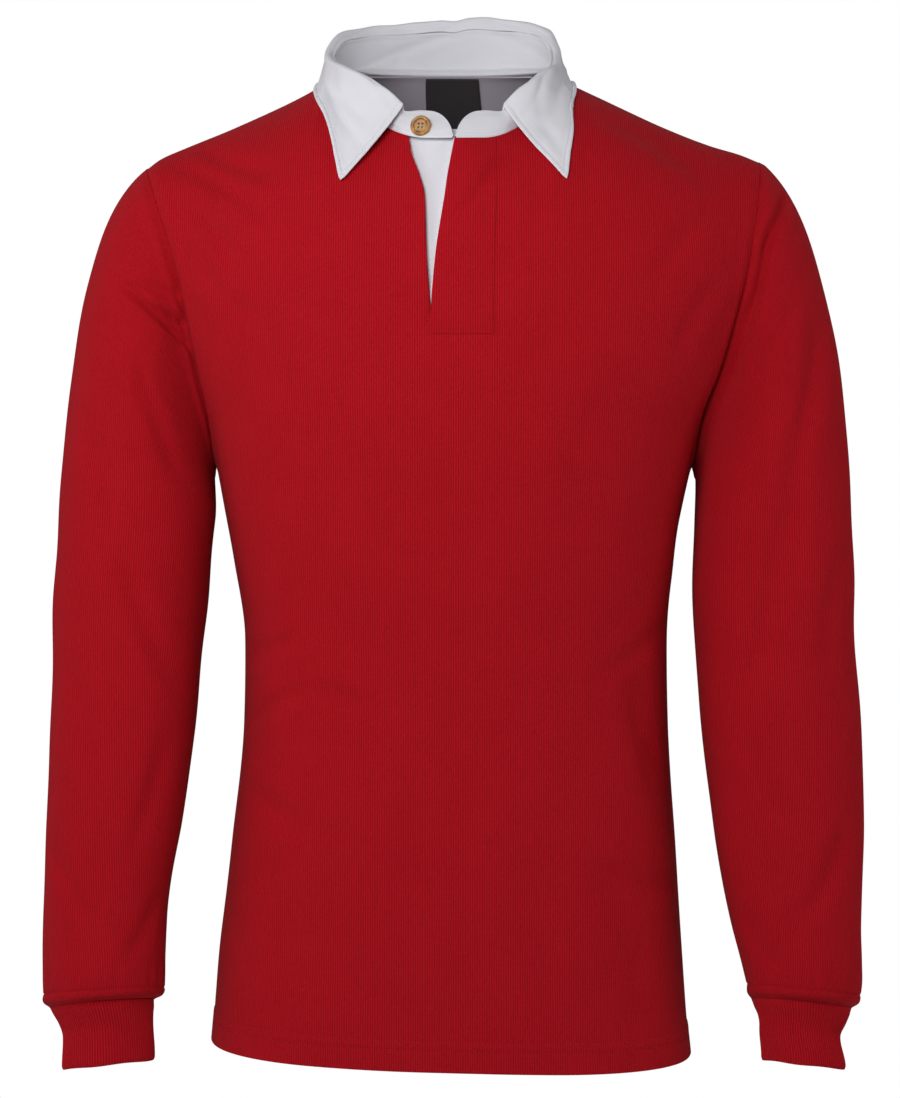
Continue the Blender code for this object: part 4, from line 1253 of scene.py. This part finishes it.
def pushes(points, gap):
    """Push along the nearest knit point's normal wherever a point is closer than the gap."""
    push = np.zeros_like(points)
    for row in range(len(points)):
        away = points[row][:, None] - ground[None]
        nearest = np.einsum("ijk,ijk->ij", away, away).argmin(axis=1)
        reach = away[np.arange(len(nearest)), nearest]
        lift = gap - (reach * ground_out[nearest]).sum(axis=-1)
        near = np.linalg.norm(reach, axis=-1) < GROUND_REACH
        push[row] = np.where(near & (lift > 0), lift, 0)[:, None] * ground_out[nearest]
    return push


def shared(push, reach):
    """A push averaged with the columns beside it and the rows above and below it."""
    for _ in range(reach):
        push[:, 1:-1] = push[:, 1:-1] / 2 + (push[:, :-2] + push[:, 2:]) / 4
        wide = np.concatenate([0 * push[:1], push, push[-1:]])
        push = push / 2 + (wide[:-2] + wide[2:]) / 4
    return push


# %% Settle the leaf and sew it
LEAF_CLEAR = 0.0009
LEAF_ROUNDS = 9
SHARE_REACH = 12
LEAF_STITCH = 0.0042
LEAF_EDGE_BANDS = [(-0.00045, LEAF_STITCH, 0.0008), (0.00035, 0.0018, 0.0016)]
LEAF_PUCKER = 0.00016
LEAF_WAVE = 0.00022
LEAF_TIP_ROUND = 0.0016
TIP_REACH = 0.0030
TIP_POINT = 6


def settled_leaf():
    """The leaf's plain form, pushed clear of the knit a few rounds over."""
    inside, roll, fall = leaf_form()
    for _ in range(LEAF_ROUNDS):
        fall = fall + shared(pushes(fall, TWILL + LEAF_CLEAR), SHARE_REACH)
    fall = fall + pushes(fall, TWILL + LEAF_CLEAR)
    return np.concatenate([inside, roll, fall])


def leaf():
    """The settled leaf with its round edge, its stitch line and a few soft waves."""
    points = settled_leaf()
    normals = grid_normals(points, 1, wrap=False)
    u, v = lengths(points, 1), lengths(points, 0)
    falling = smooth(0, 1, np.arange(len(points)) - INSIDE_ROWS - ROLL_ROWS)[:, None]
    from_edge = np.minimum(np.minimum(u, u[:, [-1]] - u), v[[-1]] - v)
    pucker = LEAF_PUCKER * np.sin(u * 640 + 3 * np.sin(u * 70)) * np.sin(v * 530 + 1)
    height = banded(0.0, from_edge, [*LEAF_EDGE_BANDS, (pucker, 0.004, 0.006)])
    creases = folds(LEAF_CREASES, points, -normals[..., 1]) * smooth(0.0, 0.004, v)
    height = height * falling + creases
    waves = np.sin(u * 96 + 40 * v) + np.sin(v * 150 - u * 60 + 2) + np.sin(u * 210 + 1)
    height = height + LEAF_WAVE * waves * smooth(0.0, 0.015, from_edge)
    points = points + height[..., None] * normals
    for end, inwards in ((0, TIP_POINT), (-1, -TIP_POINT)):
        tip, inner = points[-1, end], points[-TIP_POINT, end + inwards]
        near = banded(0.0, np.linalg.norm(points - tip, axis=-1), [(1.0, 0.0, TIP_REACH)])
        points = points + LEAF_TIP_ROUND * near[..., None] * unit(inner - tip)
    return points, np.stack([u - u[:, [u.shape[1] // 2]], v], axis=-1), normals


leaf_points, leaf_flat, leaf_normals = leaf()
sew("leaf_fall", "collar_leaf", "collar_twill", [(leaf_points, leaf_flat)], TWILL, 0.0005)

# %% [markdown]
# ## The placket, the half-moon and the label
#
# These strips lie on a panel or behind it, so each is the panel's own surface between two
# edges, moved out or in.  The fly is folded knit: thick and round at the slit, and thin
# where its far edge is stitched down, so that no step shows there.

# %% A strip on a panel, and the fly
FLY_FAR_SIDE = 0.043
FLY_FOOT = -0.1843
FLY_FOLD = 0.0013
FLY_THIN = 0.00035
FLY_CLEAR = 0.00025
FINE_FOOT = -0.160
FLY_LINES = np.array([0, 0.012, 0.03, 0.055, 0.09])
INNER_LAYER = 0.0007
STRIP_TOP = -0.0008
STRIP_RIM = 0.0003


def strip(face, edges, foot, top, out, columns, rows):
    """Grid on a panel: across from one edge to the other, level from the foot to the top."""
    share = np.linspace(0, 1, columns)[None, :]
    level = foot + (top - foot) * np.linspace(0, 1, rows)[:, None]
    right, left = edges(level)
    return on_panel(face, right + share * (left - right), level, out)


def raised(points, flat, steps):
    """A strip carried on past its top row, straight, by some steps."""
    up = unit(points[-1] - points[-3])
    more = [points[-1] + step * up for step in steps]
    further = [flat[-1] + (0, step) for step in steps]
    return np.concatenate([points, more]), np.concatenate([flat, further])


def fly():
    """The fly: its wall is a fold's thickness at the slit and thins to its far edge and foot."""
    share = join(FLY_LINES, np.linspace(FLY_LINES[-1], 1, 34))[None, :]
    level = join(even(FLY_FOOT, FINE_FOOT, 0.0011), even(FINE_FOOT, -0.004, 0.0032))[:, None]
    right, left = slit_edge(1, level), aside(-1, level, FLY_FAR_SIDE)
    low = smooth(0, 0.010, level - FLY_FOOT)
    wall = FLY_THIN + (FLY_FOLD - FLY_THIN) * smooth(1.0, 0.55, share) * low
    across = right + share * (left - right)
    points, flat, normals = on_panel(-1, across, level, wall + FLY_CLEAR)
    return points, flat, wall / FLY_FOLD, normals


fly_points, fly_flat, fly_wall, fly_normals = fly()
fly_block = (fly_points, fly_flat, fly_wall)
sew("fly_fold", "placket_fly", "body_knit", [fly_block], FLY_FOLD, STRIP_RIM)

# %% The fly's white edging and the underlap
FACING_PEEK = 0.0014
FACING_WIDTH = 0.030
FACING_FOOT = -0.166
FACING_OUT = 0.0003 - KNIT - INNER_LAYER
UNDERLAP_SIDES = (-0.022, 0.021)
BEHIND_LAYER = -(KNIT + TWILL + 2 * INNER_LAYER)
UNDERLAP_STEPS = (0.002, 0.004, 0.006, 0.008, 0.010)


def facing_edges(level):
    """From just past the fly's edge, where it peeks out, to far behind the fly."""
    return [slit_edge(1, level) + aside(-1, level, side) for side in (-FACING_PEEK, FACING_WIDTH)]


def underlap_edges(level):
    """Two lines at even distances from the slit."""
    return [aside(-1, level, side) for side in UNDERLAP_SIDES]


facing = strip(-1, facing_edges, FACING_FOOT, STRIP_TOP, FACING_OUT, columns=20, rows=60)
sew("fly_edging", "fly_facing", "collar_twill", [facing[:2]], TWILL, STRIP_RIM)
lap = strip(-1, underlap_edges, FLY_FOOT, STRIP_TOP, BEHIND_LAYER, columns=26, rows=70)
lap_block = raised(*lap[:2], UNDERLAP_STEPS)
sew("slit_underlap", "placket_underlap", "collar_twill", [lap_block], TWILL, STRIP_RIM)

# %% The half-moon and the label
HALF_MOON_ACROSS = 0.30
HALF_MOON_DROP = 0.105
HALF_MOON_TURN = 86
HALF_MOON_END = 0.02
HALF_MOON_RISE = 0.0008
LABEL_HALF_WIDTH = 0.0205
LABEL_LEVELS = (-0.052, -0.0012)
LABEL_X = 0.0004
LABEL_WALL = 0.0010


def half_moon():
    """Grid behind the back's neckline; its foot drops by an ellipse, sqrt(1 - (x/width)^2)."""
    turns = np.radians(np.linspace(-HALF_MOON_TURN, HALF_MOON_TURN, 60))
    across = HALF_MOON_ACROSS * np.sin(turns)[None, :]
    round_foot = np.clip(1 - (across / HALF_MOON_ACROSS) ** 2, HALF_MOON_END, 1)
    foot = -HALF_MOON_DROP * np.sqrt(round_foot)
    level = foot + (STRIP_TOP - foot) * np.linspace(0, 1, 40)[:, None]
    points, flat, _ = on_panel(1, across, level, -(KNIT + INNER_LAYER))
    return raised(points, flat, (HALF_MOON_RISE,))


def label_edges(level):
    """Two lines at the label's half width from its middle."""
    middle = LABEL_X - CENTRE_BACK_X
    return [aside(1, level, middle + side * LABEL_HALF_WIDTH) for side in SIDES]


sew("half_moon", "neck_facing", "collar_twill", [half_moon()], TWILL, STRIP_RIM, inside_out=True)
label = strip(1, label_edges, *LABEL_LEVELS, BEHIND_LAYER, columns=24, rows=30)
sew("woven_label", "neck_label", "label_weave", [label[:2]], LABEL_WALL, inside_out=True)

# %% [markdown]
# ## Stitches
#
# A stitch is a short spindle of thread that rises out of the cloth and dips back into it.
# A row of them follows a line on a piece, so the line is measured first: the points of a
# grid at one distance from its edge.  Each spindle has only three rings of five points and
# two tips, because there are a few thousand of them.

# %% One stitch
STITCH_SIDES = 5
STITCH_RINGS = ((-0.62, 0.75), (0, 1), (0.62, 0.75))


def spindle():
    """Unit stitch with a tip at -1 and 1: its points and its faces.

    A ring is (place along, radius); its points go round by the turn's cosine and sine.
    """
    turn = 2 * np.pi * np.arange(STITCH_SIDES) / STITCH_SIDES
    rings = [stack(s, r * np.cos(turn), r * np.sin(turn)) for s, r in STITCH_RINGS]
    points = np.concatenate([*rings, [(-1, 0, 0), (1, 0, 0)]])
    n, faces = STITCH_SIDES, []
    for i in range(n):
        j = (i + 1) % n
        faces += [(k + i, k + j, k + n + j, k + n + i) for k in (0, n)]
        faces += [(3 * n, j, i), (3 * n + 1, 2 * n + i, 2 * n + j)]
    return points, faces


SPINDLE_POINTS, SPINDLE_FACES = spindle()
print("a stitch has", len(SPINDLE_POINTS), "points and", len(SPINDLE_FACES), "faces")

# %% Lines on a grid, and stitches along them
STITCH_WOBBLE = 0.07
STITCH_RISE, TIP_SINK = 0.55, 0.9
stitch_rng = np.random.default_rng(5)
threads = {}


def row_of_stitches(line, normals, length, gap, radius):
    """Spindles along a line: centre + s * half length + sideways + up, with sunk tips.

    Up is rise - sink * s^2, in radii, and each spindle is turned a little by chance.
    """
    travel = lengths(line[None], 1)[0]
    count = max(int(travel[-1] / (length + gap)), 1)
    centre = (np.arange(count) + 0.5) * travel[-1] / count
    middle, ahead, behind, out = (
        np.stack([np.interp(at, travel, part) for part in values.T], axis=-1)
        for at, values in (
            (centre, line),
            (centre + length / 2, line),
            (centre - length / 2, line),
            (centre, normals),
        )
    )
    along, out = unit(ahead - behind), unit(out)
    side = np.cross(out, along)
    along = unit(along + STITCH_WOBBLE * stitch_rng.standard_normal((count, 1)) * side)
    s, across, up = SPINDLE_POINTS.T[:, None, :, None]
    lift = STITCH_RISE * radius - TIP_SINK * radius * s**2
    points = middle[:, None] + s * length / 2 * along[:, None] + across * radius * side[:, None]
    return points + (up * radius + lift) * out[:, None]


def thread(name, sheet, slot, rows):
    """One object of all the stitches on a piece."""
    points = np.concatenate([row.reshape(-1, len(SPINDLE_POINTS), 3) for row in rows])
    count, size = points.shape[:2]
    faces = [tuple(k * size + i for i in face) for k in range(count) for face in SPINDLE_FACES]
    made = mesh_object(name, points.reshape(-1, 3), faces)
    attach(made, "root")
    pieces[name], slots[name] = made, slot
    threads.setdefault(sheet, []).append(made)
    print(f"{name}: {count} stitches")


def line_at(points, normals, distance, axis, from_end):
    """Where each row (axis 1) or column (axis 0) of a grid has come a distance from an end."""
    if axis == 0:
        points, normals = points.swapaxes(0, 1), normals.swapaxes(0, 1)
    if from_end:
        points, normals = points[:, ::-1], normals[:, ::-1]
    travel = lengths(points, 1)
    i = np.clip((travel < distance).sum(axis=1) - 1, 0, points.shape[1] - 2)
    here = np.arange(len(points))
    t = ((distance - travel[here, i]) / (travel[here, i + 1] - travel[here, i]))[:, None]
    place = points[here, i] * (1 - t) + points[here, i + 1] * t
    return place, normals[here, i]


# %% Stitch the collar
LEAF_YARN = {"length": 0.0023, "gap": 0.0008, "radius": 0.00022}
STAND_YARN = {"length": 0.0023, "gap": 0.0008, "radius": 0.00020}
STAND_END_PARTS = [slice(6, 42), slice(-42, -6)]
STAND_INSIDE_PARTS = [slice(30, -30)]


def edge_rows(points, normals, inset, rows):
    """Stitch lines down one front edge, along the lower edge and up the other front edge."""
    lines = []
    for axis, from_end in ((1, False), (0, True), (1, True)):
        line, out = line_at(points, normals, inset, axis, from_end)
        away = lengths(line[None], 1)[0]
        if axis == 1:
            keep = (np.arange(len(line)) >= rows) & (away[-1] - away > inset)
        else:
            keep = (away > inset * 1.1) & (away[-1] - away > inset * 1.1)
        lines.append(row_of_stitches(line[keep], out[keep], **LEAF_YARN))
    return lines


def stand_rows():
    """Stitch lines near the top and the foot: outside at the two ends, inside all along."""
    points, _, thick, normals = stand_grid
    inner = points - (TWILL * thick)[..., None] * normals
    lines = []
    for face, outward, parts in ((points, 1, STAND_END_PARTS), (inner, -1, STAND_INSIDE_PARTS)):
        for edge, inset in STAND_STITCH.items():
            line, out = line_at(face, outward * normals, inset, 0, edge == "top")
            for part in parts:
                lines.append(row_of_stitches(line[part], out[part], **STAND_YARN))
    return lines


leaf_rows = edge_rows(leaf_points, leaf_normals, LEAF_STITCH, INSIDE_ROWS + ROLL_ROWS - 1)
thread("leaf_topstitch", "leaf_fall", "collar_twill", leaf_rows)
thread("stand_topstitch", "stand_band", "collar_twill", stand_rows())

# %% Stitch the hem, the cuffs and the fly
HEM_YARN = {"length": 0.0030, "gap": 0.0008, "radius": 0.00036}
CUFF_YARN = {"length": 0.0026, "gap": 0.0009, "radius": 0.00026}
FLY_YARN = {"length": 0.0026, "gap": 0.0009, "radius": 0.00024}
BOX_YARN = {"length": 0.0024, "gap": 0.0007, "radius": 0.00024}
BAR_YARN = {"length": 0.0020, "gap": 0.0004, "radius": 0.00026}
BOX_LEVELS = (-0.1815, -0.1735)
BOX_SIDES = (0.0006, FLY_FAR_SIDE - 0.001)
BAR_TOP = -0.1655
BAR_SIDE = 0.0010
BOX_OUT = 0.0009  # heights above the panel
BAR_OUT = 0.0015


def hem_rows(points, _, normals):
    """The hem's two rows of stitches, on rows of the grid."""
    rows = [int(round(up / HEM_STEP)) for up in HEM_STITCH]
    return [row_of_stitches(points[row], normals[row], **HEM_YARN) for row in rows]


def fly_rows():
    """One row along the fly's far edge, two across its foot, and a bar at the slit's foot."""
    lines = [row_of_stitches(fly_points[4:, -2], fly_normals[4:, -2], **FLY_YARN)]
    for level in BOX_LEVELS:
        right, left = (aside(-1, level, side) for side in BOX_SIDES)
        line, _, out = on_panel(-1, np.linspace(right, left, 40), np.full(40, level), BOX_OUT)
        lines.append(row_of_stitches(line, out, **BOX_YARN))
    level = np.linspace(BOX_LEVELS[-1], BAR_TOP, 12)
    line, _, out = on_panel(-1, aside(-1, level, BAR_SIDE), level, BAR_OUT)
    return [*lines, row_of_stitches(line, out, **BAR_YARN)]


hems = {"front_panel": hem_rows(*front_blocks[0]), "back_panel": hem_rows(*back_block)}
for side, name in SIDES.items():
    line, out = line_at(*sleeves[side][::2], CUFF_TOPSTITCH, 0, True)
    rows = [row_of_stitches(line, out, **CUFF_YARN)]
    thread(f"cuff_topstitch_{name}", f"sleeve_cloth_{name}", "body_knit", rows)
thread("fly_stitches", "fly_fold", "body_knit", fly_rows())
for name, rows in hems.items():
    thread(f"{name}_hem_stitches", name, "body_knit", rows)

# %% [markdown]
# ## Finishes
#
# Every finish is a small expression.  `Wire` lets a socket stand in ordinary arithmetic,
# and `Finish.add` makes any other node.  The knit reads its flat places, so its ribs run
# with the cloth.


# %% Sockets in expressions
class Wire:
    """A socket that adds a Math node for each operator it meets."""

    def __init__(self, tree, socket):
        self.tree = tree
        self.socket = socket

    def math(self, operation, other=0.0, swapped=False):
        node = self.tree.nodes.new("ShaderNodeMath")
        node.operation = operation
        first, second = (other, self) if swapped else (self, other)
        plug(self.tree, first, node.inputs[0])
        plug(self.tree, second, node.inputs[1])
        return Wire(self.tree, node.outputs[0])

    def __add__(self, other):
        return self.math("ADD", other)

    def __sub__(self, other):
        return self.math("SUBTRACT", other)

    def __rsub__(self, other):
        return self.math("SUBTRACT", other, swapped=True)

    def __mul__(self, other):
        return self.math("MULTIPLY", other)

    def __pow__(self, other):
        return self.math("POWER", other)

    __radd__ = __add__
    __rmul__ = __mul__

    def wave(self):
        """Sine of the value."""
        return self.math("SINE")

    def size(self):
        """The value without its sign."""
        return self.math("ABSOLUTE")


def plug(tree, value, place):
    """Link a wire to a socket, or set the socket to a plain value."""
    if isinstance(value, Wire):
        tree.links.new(value.socket, place)
    else:
        place.default_value = value


# %% A material and its nodes
class Finish:
    """A material, with one method that adds any node."""

    def __init__(self, name, constants):
        self.material = bpy.data.materials.new(name)
        self.material.use_nodes = True
        self.tree = self.material.node_tree
        self.shader = self.tree.nodes["Principled BSDF"]
        for socket, value in constants.items():
            self.shader.inputs[socket].default_value = value

    def add(self, kind, settings=None, sockets=None, output=0):
        """Node of a type: its settings first, then its sockets' values or links."""
        node = self.tree.nodes.new("ShaderNode" + kind)
        for key, value in (settings or {}).items():
            if key == "stops":
                for stop, (place, colour) in zip(node.color_ramp.elements, value):
                    stop.position = place
                    stop.color = (*colour, 1)
            else:
                setattr(node, key, value)
        for place, value in (sockets or {}).items():
            plug(self.tree, value, node.inputs[place])
        return Wire(self.tree, node.outputs[output])

    def flat(self):
        """The two flat places of the cloth."""
        where = self.add("UVMap", {"uv_map": "cloth"})
        return [self.add("SeparateXYZ", None, {0: where}, output) for output in (0, 1)]

    def own_place(self):
        """The object's own metres, which are the node's output 3."""
        return self.add("TexCoord", None, None, 3)

    def noise(self, scale, detail=3.0, where=None):
        """Noise, 0 to 1, on the object's own metres or on another place."""
        sockets = {"Vector": where or self.own_place(), "Scale": scale, "Detail": detail}
        return self.add("TexNoise", None, sockets)

    def mix(self, factor, first, second):
        """Mix of two colours, which are the node's inputs 6 and 7 and its output 2."""
        return self.add("Mix", {"data_type": "RGBA"}, {0: factor, 6: first, 7: second}, 2)

    def shade(self, colour, roughness, height, depth):
        """Connect colour, roughness and a height in units of `depth` metres; give the result."""
        bump = self.add("Bump", None, {"Strength": 1.0, "Distance": depth, "Height": height})
        plug(self.tree, colour, self.shader.inputs["Base Color"])
        plug(self.tree, roughness, self.shader.inputs["Roughness"])
        plug(self.tree, bump, self.shader.inputs["Normal"])
        return self.material


# %% [markdown]
# ## The knit
#
# The body is a fine rib: round wales 1.7 mm apart with narrow grooves, each wale a
# column of loops.  The shade in the grooves and between the loops is painted into the
# colour.  Cotton yarn is matt and slightly furry, so the roughness is high, a
# little sheen is added, and the colour wanders by a few per cent.

# %% Red knits
WALE = 0.0017
COURSE = 0.0012
LOOP_BOW = 2.2
RED = (0.560, 0.0065, 0.0150, 1)
DARK_RED = (0.120, 0.0008, 0.0024, 1)
RED_LIGHT = (0.570, 0.0110, 0.0210, 1)


def rib_knit(name, wale, bump, painted_groove_shade):
    """Wales |cos|^1.1 across, loops that bow along them, fur, and a slow change of colour.

    The colour darkens in the grooves between wales and between loops: painted shade.
    """
    fuzz = {"Sheen Weight": 0.05, "Sheen Roughness": 0.5, "Sheen Tint": (1, 0.30, 0.32, 1)}
    finish = Finish(name, {**fuzz, "Specular IOR Level": 0.06})
    u, v = finish.flat()
    across = u * (np.pi / wale)
    ridge = (across + np.pi / 2).wave().size() ** 1.1
    loops = (v * (2 * np.pi / COURSE) + ridge * LOOP_BOW).wave() * 0.5 + 0.5
    fur = finish.noise(1000.0, 3.0)
    patch = finish.noise(38.0, 3.0)
    slub = finish.noise(420.0, 2.0)
    clear = patch * 0.8 + 0.6
    # painted shade: the tone drops in the grooves between wales and between loops, while fur and
    # patches vary it at random
    tone = (ridge - 0.6) * clear * painted_groove_shade + loops * 0.16 + fur * 0.85 + 0.12
    red = finish.mix(tone, DARK_RED, RED)
    red = finish.mix((patch * 0.5 + slub * 0.5) * 0.5, red, RED_LIGHT)
    height = ridge + loops * 0.22 + fur * 0.25
    return finish.shade(red, fur * 0.12 + 0.78, height, bump)


# the last number sets how strong the painted shade in the rib grooves is
body_knit = rib_knit("red_rib_knit", WALE, 0.00028, 0.60)
cuff_knit = rib_knit("red_cuff_rib", RIB_PITCH, 0.00014, 0.75)
print("nodes in the knit:", len(body_knit.node_tree.nodes))

# %% [markdown]
# ## Twill, label, thread and button
#
# Twill is woven with each row one thread further on, which gives fine diagonal lines.  The
# label is a dense black weave.  The button is cast resin with darker and lighter swirls,
# polished, so it alone has gloss.


# %% Twill and label
TWILL_LINE = 0.0008
TWILL_THREAD = 0.0005
LABEL_ROW = 0.0006
LABEL_WARP = 0.0009
LABEL_DARK = (0.014, 0.012, 0.013, 1)
LABEL_LIGHT = (0.050, 0.044, 0.049, 1)


def stripes(place, pitch):
    """Bands across a place, (1 + sin(2 pi place / pitch)) / 2."""
    return (place * (2 * np.pi / pitch)).wave() * 0.5 + 0.5


def twill_weave(name, dark, light):
    """Diagonals 0.8 mm apart, crossing threads, and faint slubs."""
    finish = Finish(name, {"Sheen Weight": 0.08, "Specular IOR Level": 0.3})
    u, v = finish.flat()
    diagonal = stripes(u + v, TWILL_LINE)
    threads_across = stripes(u - v * 0.6, TWILL_THREAD)
    fur, patch = finish.noise(3000.0, 3.0), finish.noise(60.0, 4.0)
    tone = diagonal * 0.3 + threads_across * 0.15 + patch * 0.4 + fur * 0.15
    white = finish.mix(tone, dark, light)
    height = diagonal * 0.6 + threads_across * 0.3 + fur * 0.3
    return finish.shade(white, fur * 0.1 + 0.75, height, 0.00007)


def black_weave():
    """Fine rows of weft over warp, a little shiny on top."""
    finish = Finish("black_label_weave", {"Sheen Weight": 0.10})
    u, v = finish.flat()
    rows, warp = stripes(v, LABEL_ROW), stripes(u, LABEL_WARP)
    fur = finish.noise(2500.0, 3.0)
    black = finish.mix(rows * 0.6 + fur * 0.4, LABEL_DARK, LABEL_LIGHT)
    return finish.shade(black, warp * 0.1 + 0.6, rows * 0.6 + warp * 0.3 + fur * 0.2, 0.00008)


twill = twill_weave("white_twill", (0.72, 0.720, 0.775, 1), (0.88, 0.875, 0.925, 1))
# The half-moon's twill is darker than the white one and lilac: partly the cloth's own grey, partly
# painted shade inside the neck, with a painted red reflection from the knit.
shaded_half_moon_twill = twill_weave("half_moon_twill_painted_shade", (0.38, 0.345, 0.415, 1), (0.50, 0.460, 0.535, 1))
label_black = black_weave()
print("nodes in the twill:", len(twill.node_tree.nodes))

# %% Thread and button
SWIRL_REACH = 0.006
SWIRL_STOPS = [(0.30, (0.19, 0.060, 0.006)), (0.72, (0.66, 0.33, 0.060))]


def sewing_thread(name, dark, light):
    """Twisted yarn: fine bands on the object's own metres."""
    finish = Finish(name, {"Specular IOR Level": 0.08})
    twist, patch = finish.noise(5200.0, 2.0), finish.noise(120.0, 2.0)
    colour = finish.mix(twist * 0.6 + patch * 0.4, dark, light)
    return finish.shade(colour, twist * 0.15 + 0.6, twist, 0.00005)


def horn_resin():
    """Warped noise gives the swirls; roughness follows them a little."""
    finish = Finish("horn_resin", {"Coat Weight": 0.12, "Coat Roughness": 0.3, "IOR": 1.45})
    where = finish.own_place()
    bent = finish.add("TexNoise", None, {"Vector": where, "Scale": 180.0, "Detail": 2.0}, 1)
    sockets = {0: bent, 1: (SWIRL_REACH,) * 3, 2: where}
    where = finish.add("VectorMath", {"operation": "MULTIPLY_ADD"}, sockets)
    swirl = finish.noise(260.0, 3.0, where)
    amber = finish.add("ValToRGB", {"stops": SWIRL_STOPS}, {0: swirl})
    return finish.shade(amber, swirl * 0.15 + 0.32, finish.noise(900.0), 0.00003)


red_thread = sewing_thread("red_thread", (0.34, 0.005, 0.012, 1), (0.58, 0.016, 0.030, 1))
white_thread = sewing_thread("white_thread", (0.66, 0.675, 0.73, 1), (0.86, 0.87, 0.90, 1))
resin = horn_resin()
print("nodes in the resin:", len(resin.node_tree.nodes))

# %% Give each piece its finish
CLOTH_OF = {
    "body_knit": body_knit,
    "cuff_rib": cuff_knit,
    "collar_twill": twill,
    "label_weave": label_black,
}
YARN_OF = {"body_knit": red_thread, "collar_twill": white_thread}
stitched = {piece.name for rows in threads.values() for piece in rows}
for name, piece in pieces.items():
    looks = YARN_OF if name in stitched else CLOTH_OF
    piece.data.materials.clear()
    piece.data.materials.append(looks[slots[name]])
# the half-moon gets the darker twill with painted shade and painted red reflection
pieces["half_moon"].data.materials[0] = shaded_half_moon_twill
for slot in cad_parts["collar_button"].material_slots:
    slot.material = resin
print(len(stitched), "rows of stitches and", len(pieces) - len(stitched), "pieces of cloth")

# %% [markdown]

# %% [markdown]
# ## Light, floor and camera
#
# The shirt is shown as in a catalogue: one soft light in front and a little above, a wide
# one far out on the left, two low ones close to the sleeves, two behind for the back, and a
# pale floor below.  The camera stands three metres off with a long lens, so that the
# sleeves aren't seen larger than the body.

# %% Lights
AIM = Vector((0, 0, -0.2))


def soft_light(name, place, size, power):
    """Square light that faces the shirt's middle."""
    lamp = bpy.data.lights.new(name, "AREA")
    lamp.size = size
    lamp.energy = power
    made = bpy.data.objects.new(name, lamp)
    made.location = place
    made.rotation_euler = (AIM - Vector(place)).to_track_quat("-Z", "Y").to_euler()
    bpy.context.scene.collection.objects.link(made)


soft_light("front", (-0.4, -1.3, 0.35), 0.8, 13.8)
soft_light("left_far", (-2.8, -0.8, 0.6), 1.8, 9)
soft_light("left_near", (-1.6, -0.6, 0.0), 1.0, 4)
soft_light("right_near", (1.6, -0.6, 0.0), 1.0, 7.8)
soft_light("rear_left", (-1.6, 2.4, 1.4), 1.8, 10)
soft_light("rear_right", (1.6, 2.4, 1.4), 1.8, 12)
print("lights:", len(bpy.data.lights))

# %% Floor and background
FLOOR = -1.45
BACK_GLOW = 0.05
bpy.ops.mesh.primitive_circle_add(vertices=96, radius=3, fill_type="NGON", location=(0, 0, FLOOR))
floor = bpy.context.object
floor.name = "studio_floor"
pale = Finish("pale_floor", {"Emission Color": (1, 1, 1, 1), "Emission Strength": 0.10})
grain = pale.noise(3.0, 2.0)
floor.data.materials.append(
    pale.shade(pale.mix(grain, (0.86, 0.86, 0.86, 1), (0.90, 0.90, 0.90, 1)), 0.9, grain, 0.0001)
)

world = bpy.context.scene.world or bpy.data.worlds.new("studio")
bpy.context.scene.world = world
world.use_nodes = True
sky = world.node_tree
sky.nodes.clear()
seen = sky.nodes.new("ShaderNodeLightPath")
level = sky.nodes.new("ShaderNodeMapRange")
level.inputs["To Min"].default_value = BACK_GLOW
level.inputs["To Max"].default_value = 1.0
white = sky.nodes.new("ShaderNodeBackground")
white.inputs["Color"].default_value = (1, 1, 1, 1)
out = sky.nodes.new("ShaderNodeOutputWorld")
sky.links.new(seen.outputs["Is Camera Ray"], level.inputs["Value"])
sky.links.new(level.outputs["Result"], white.inputs["Strength"])
sky.links.new(white.outputs["Background"], out.inputs["Surface"])
bpy.context.scene.view_settings.view_transform = "Standard"
print("the floor is at", FLOOR, "m")

# %% Camera
CAMERA_PLACE = (-0.00147, -3.0, -0.10639)
CAMERA_DOWN = 4.57
camera = bpy.data.cameras.new("camera")
camera.lens = 134.25
camera.sensor_width = 36
view = bpy.data.objects.new("camera", camera)
view.location = CAMERA_PLACE
view.rotation_euler = (np.radians(90 - CAMERA_DOWN), 0, 0)
bpy.context.scene.collection.objects.link(view)
bpy.context.scene.camera = view
print("the camera looks down by", CAMERA_DOWN, "degrees")

# %% Finish
triangles = sum(2 * len(piece.data.polygons) for piece in pieces.values())
print("triangles at most:", triangles)
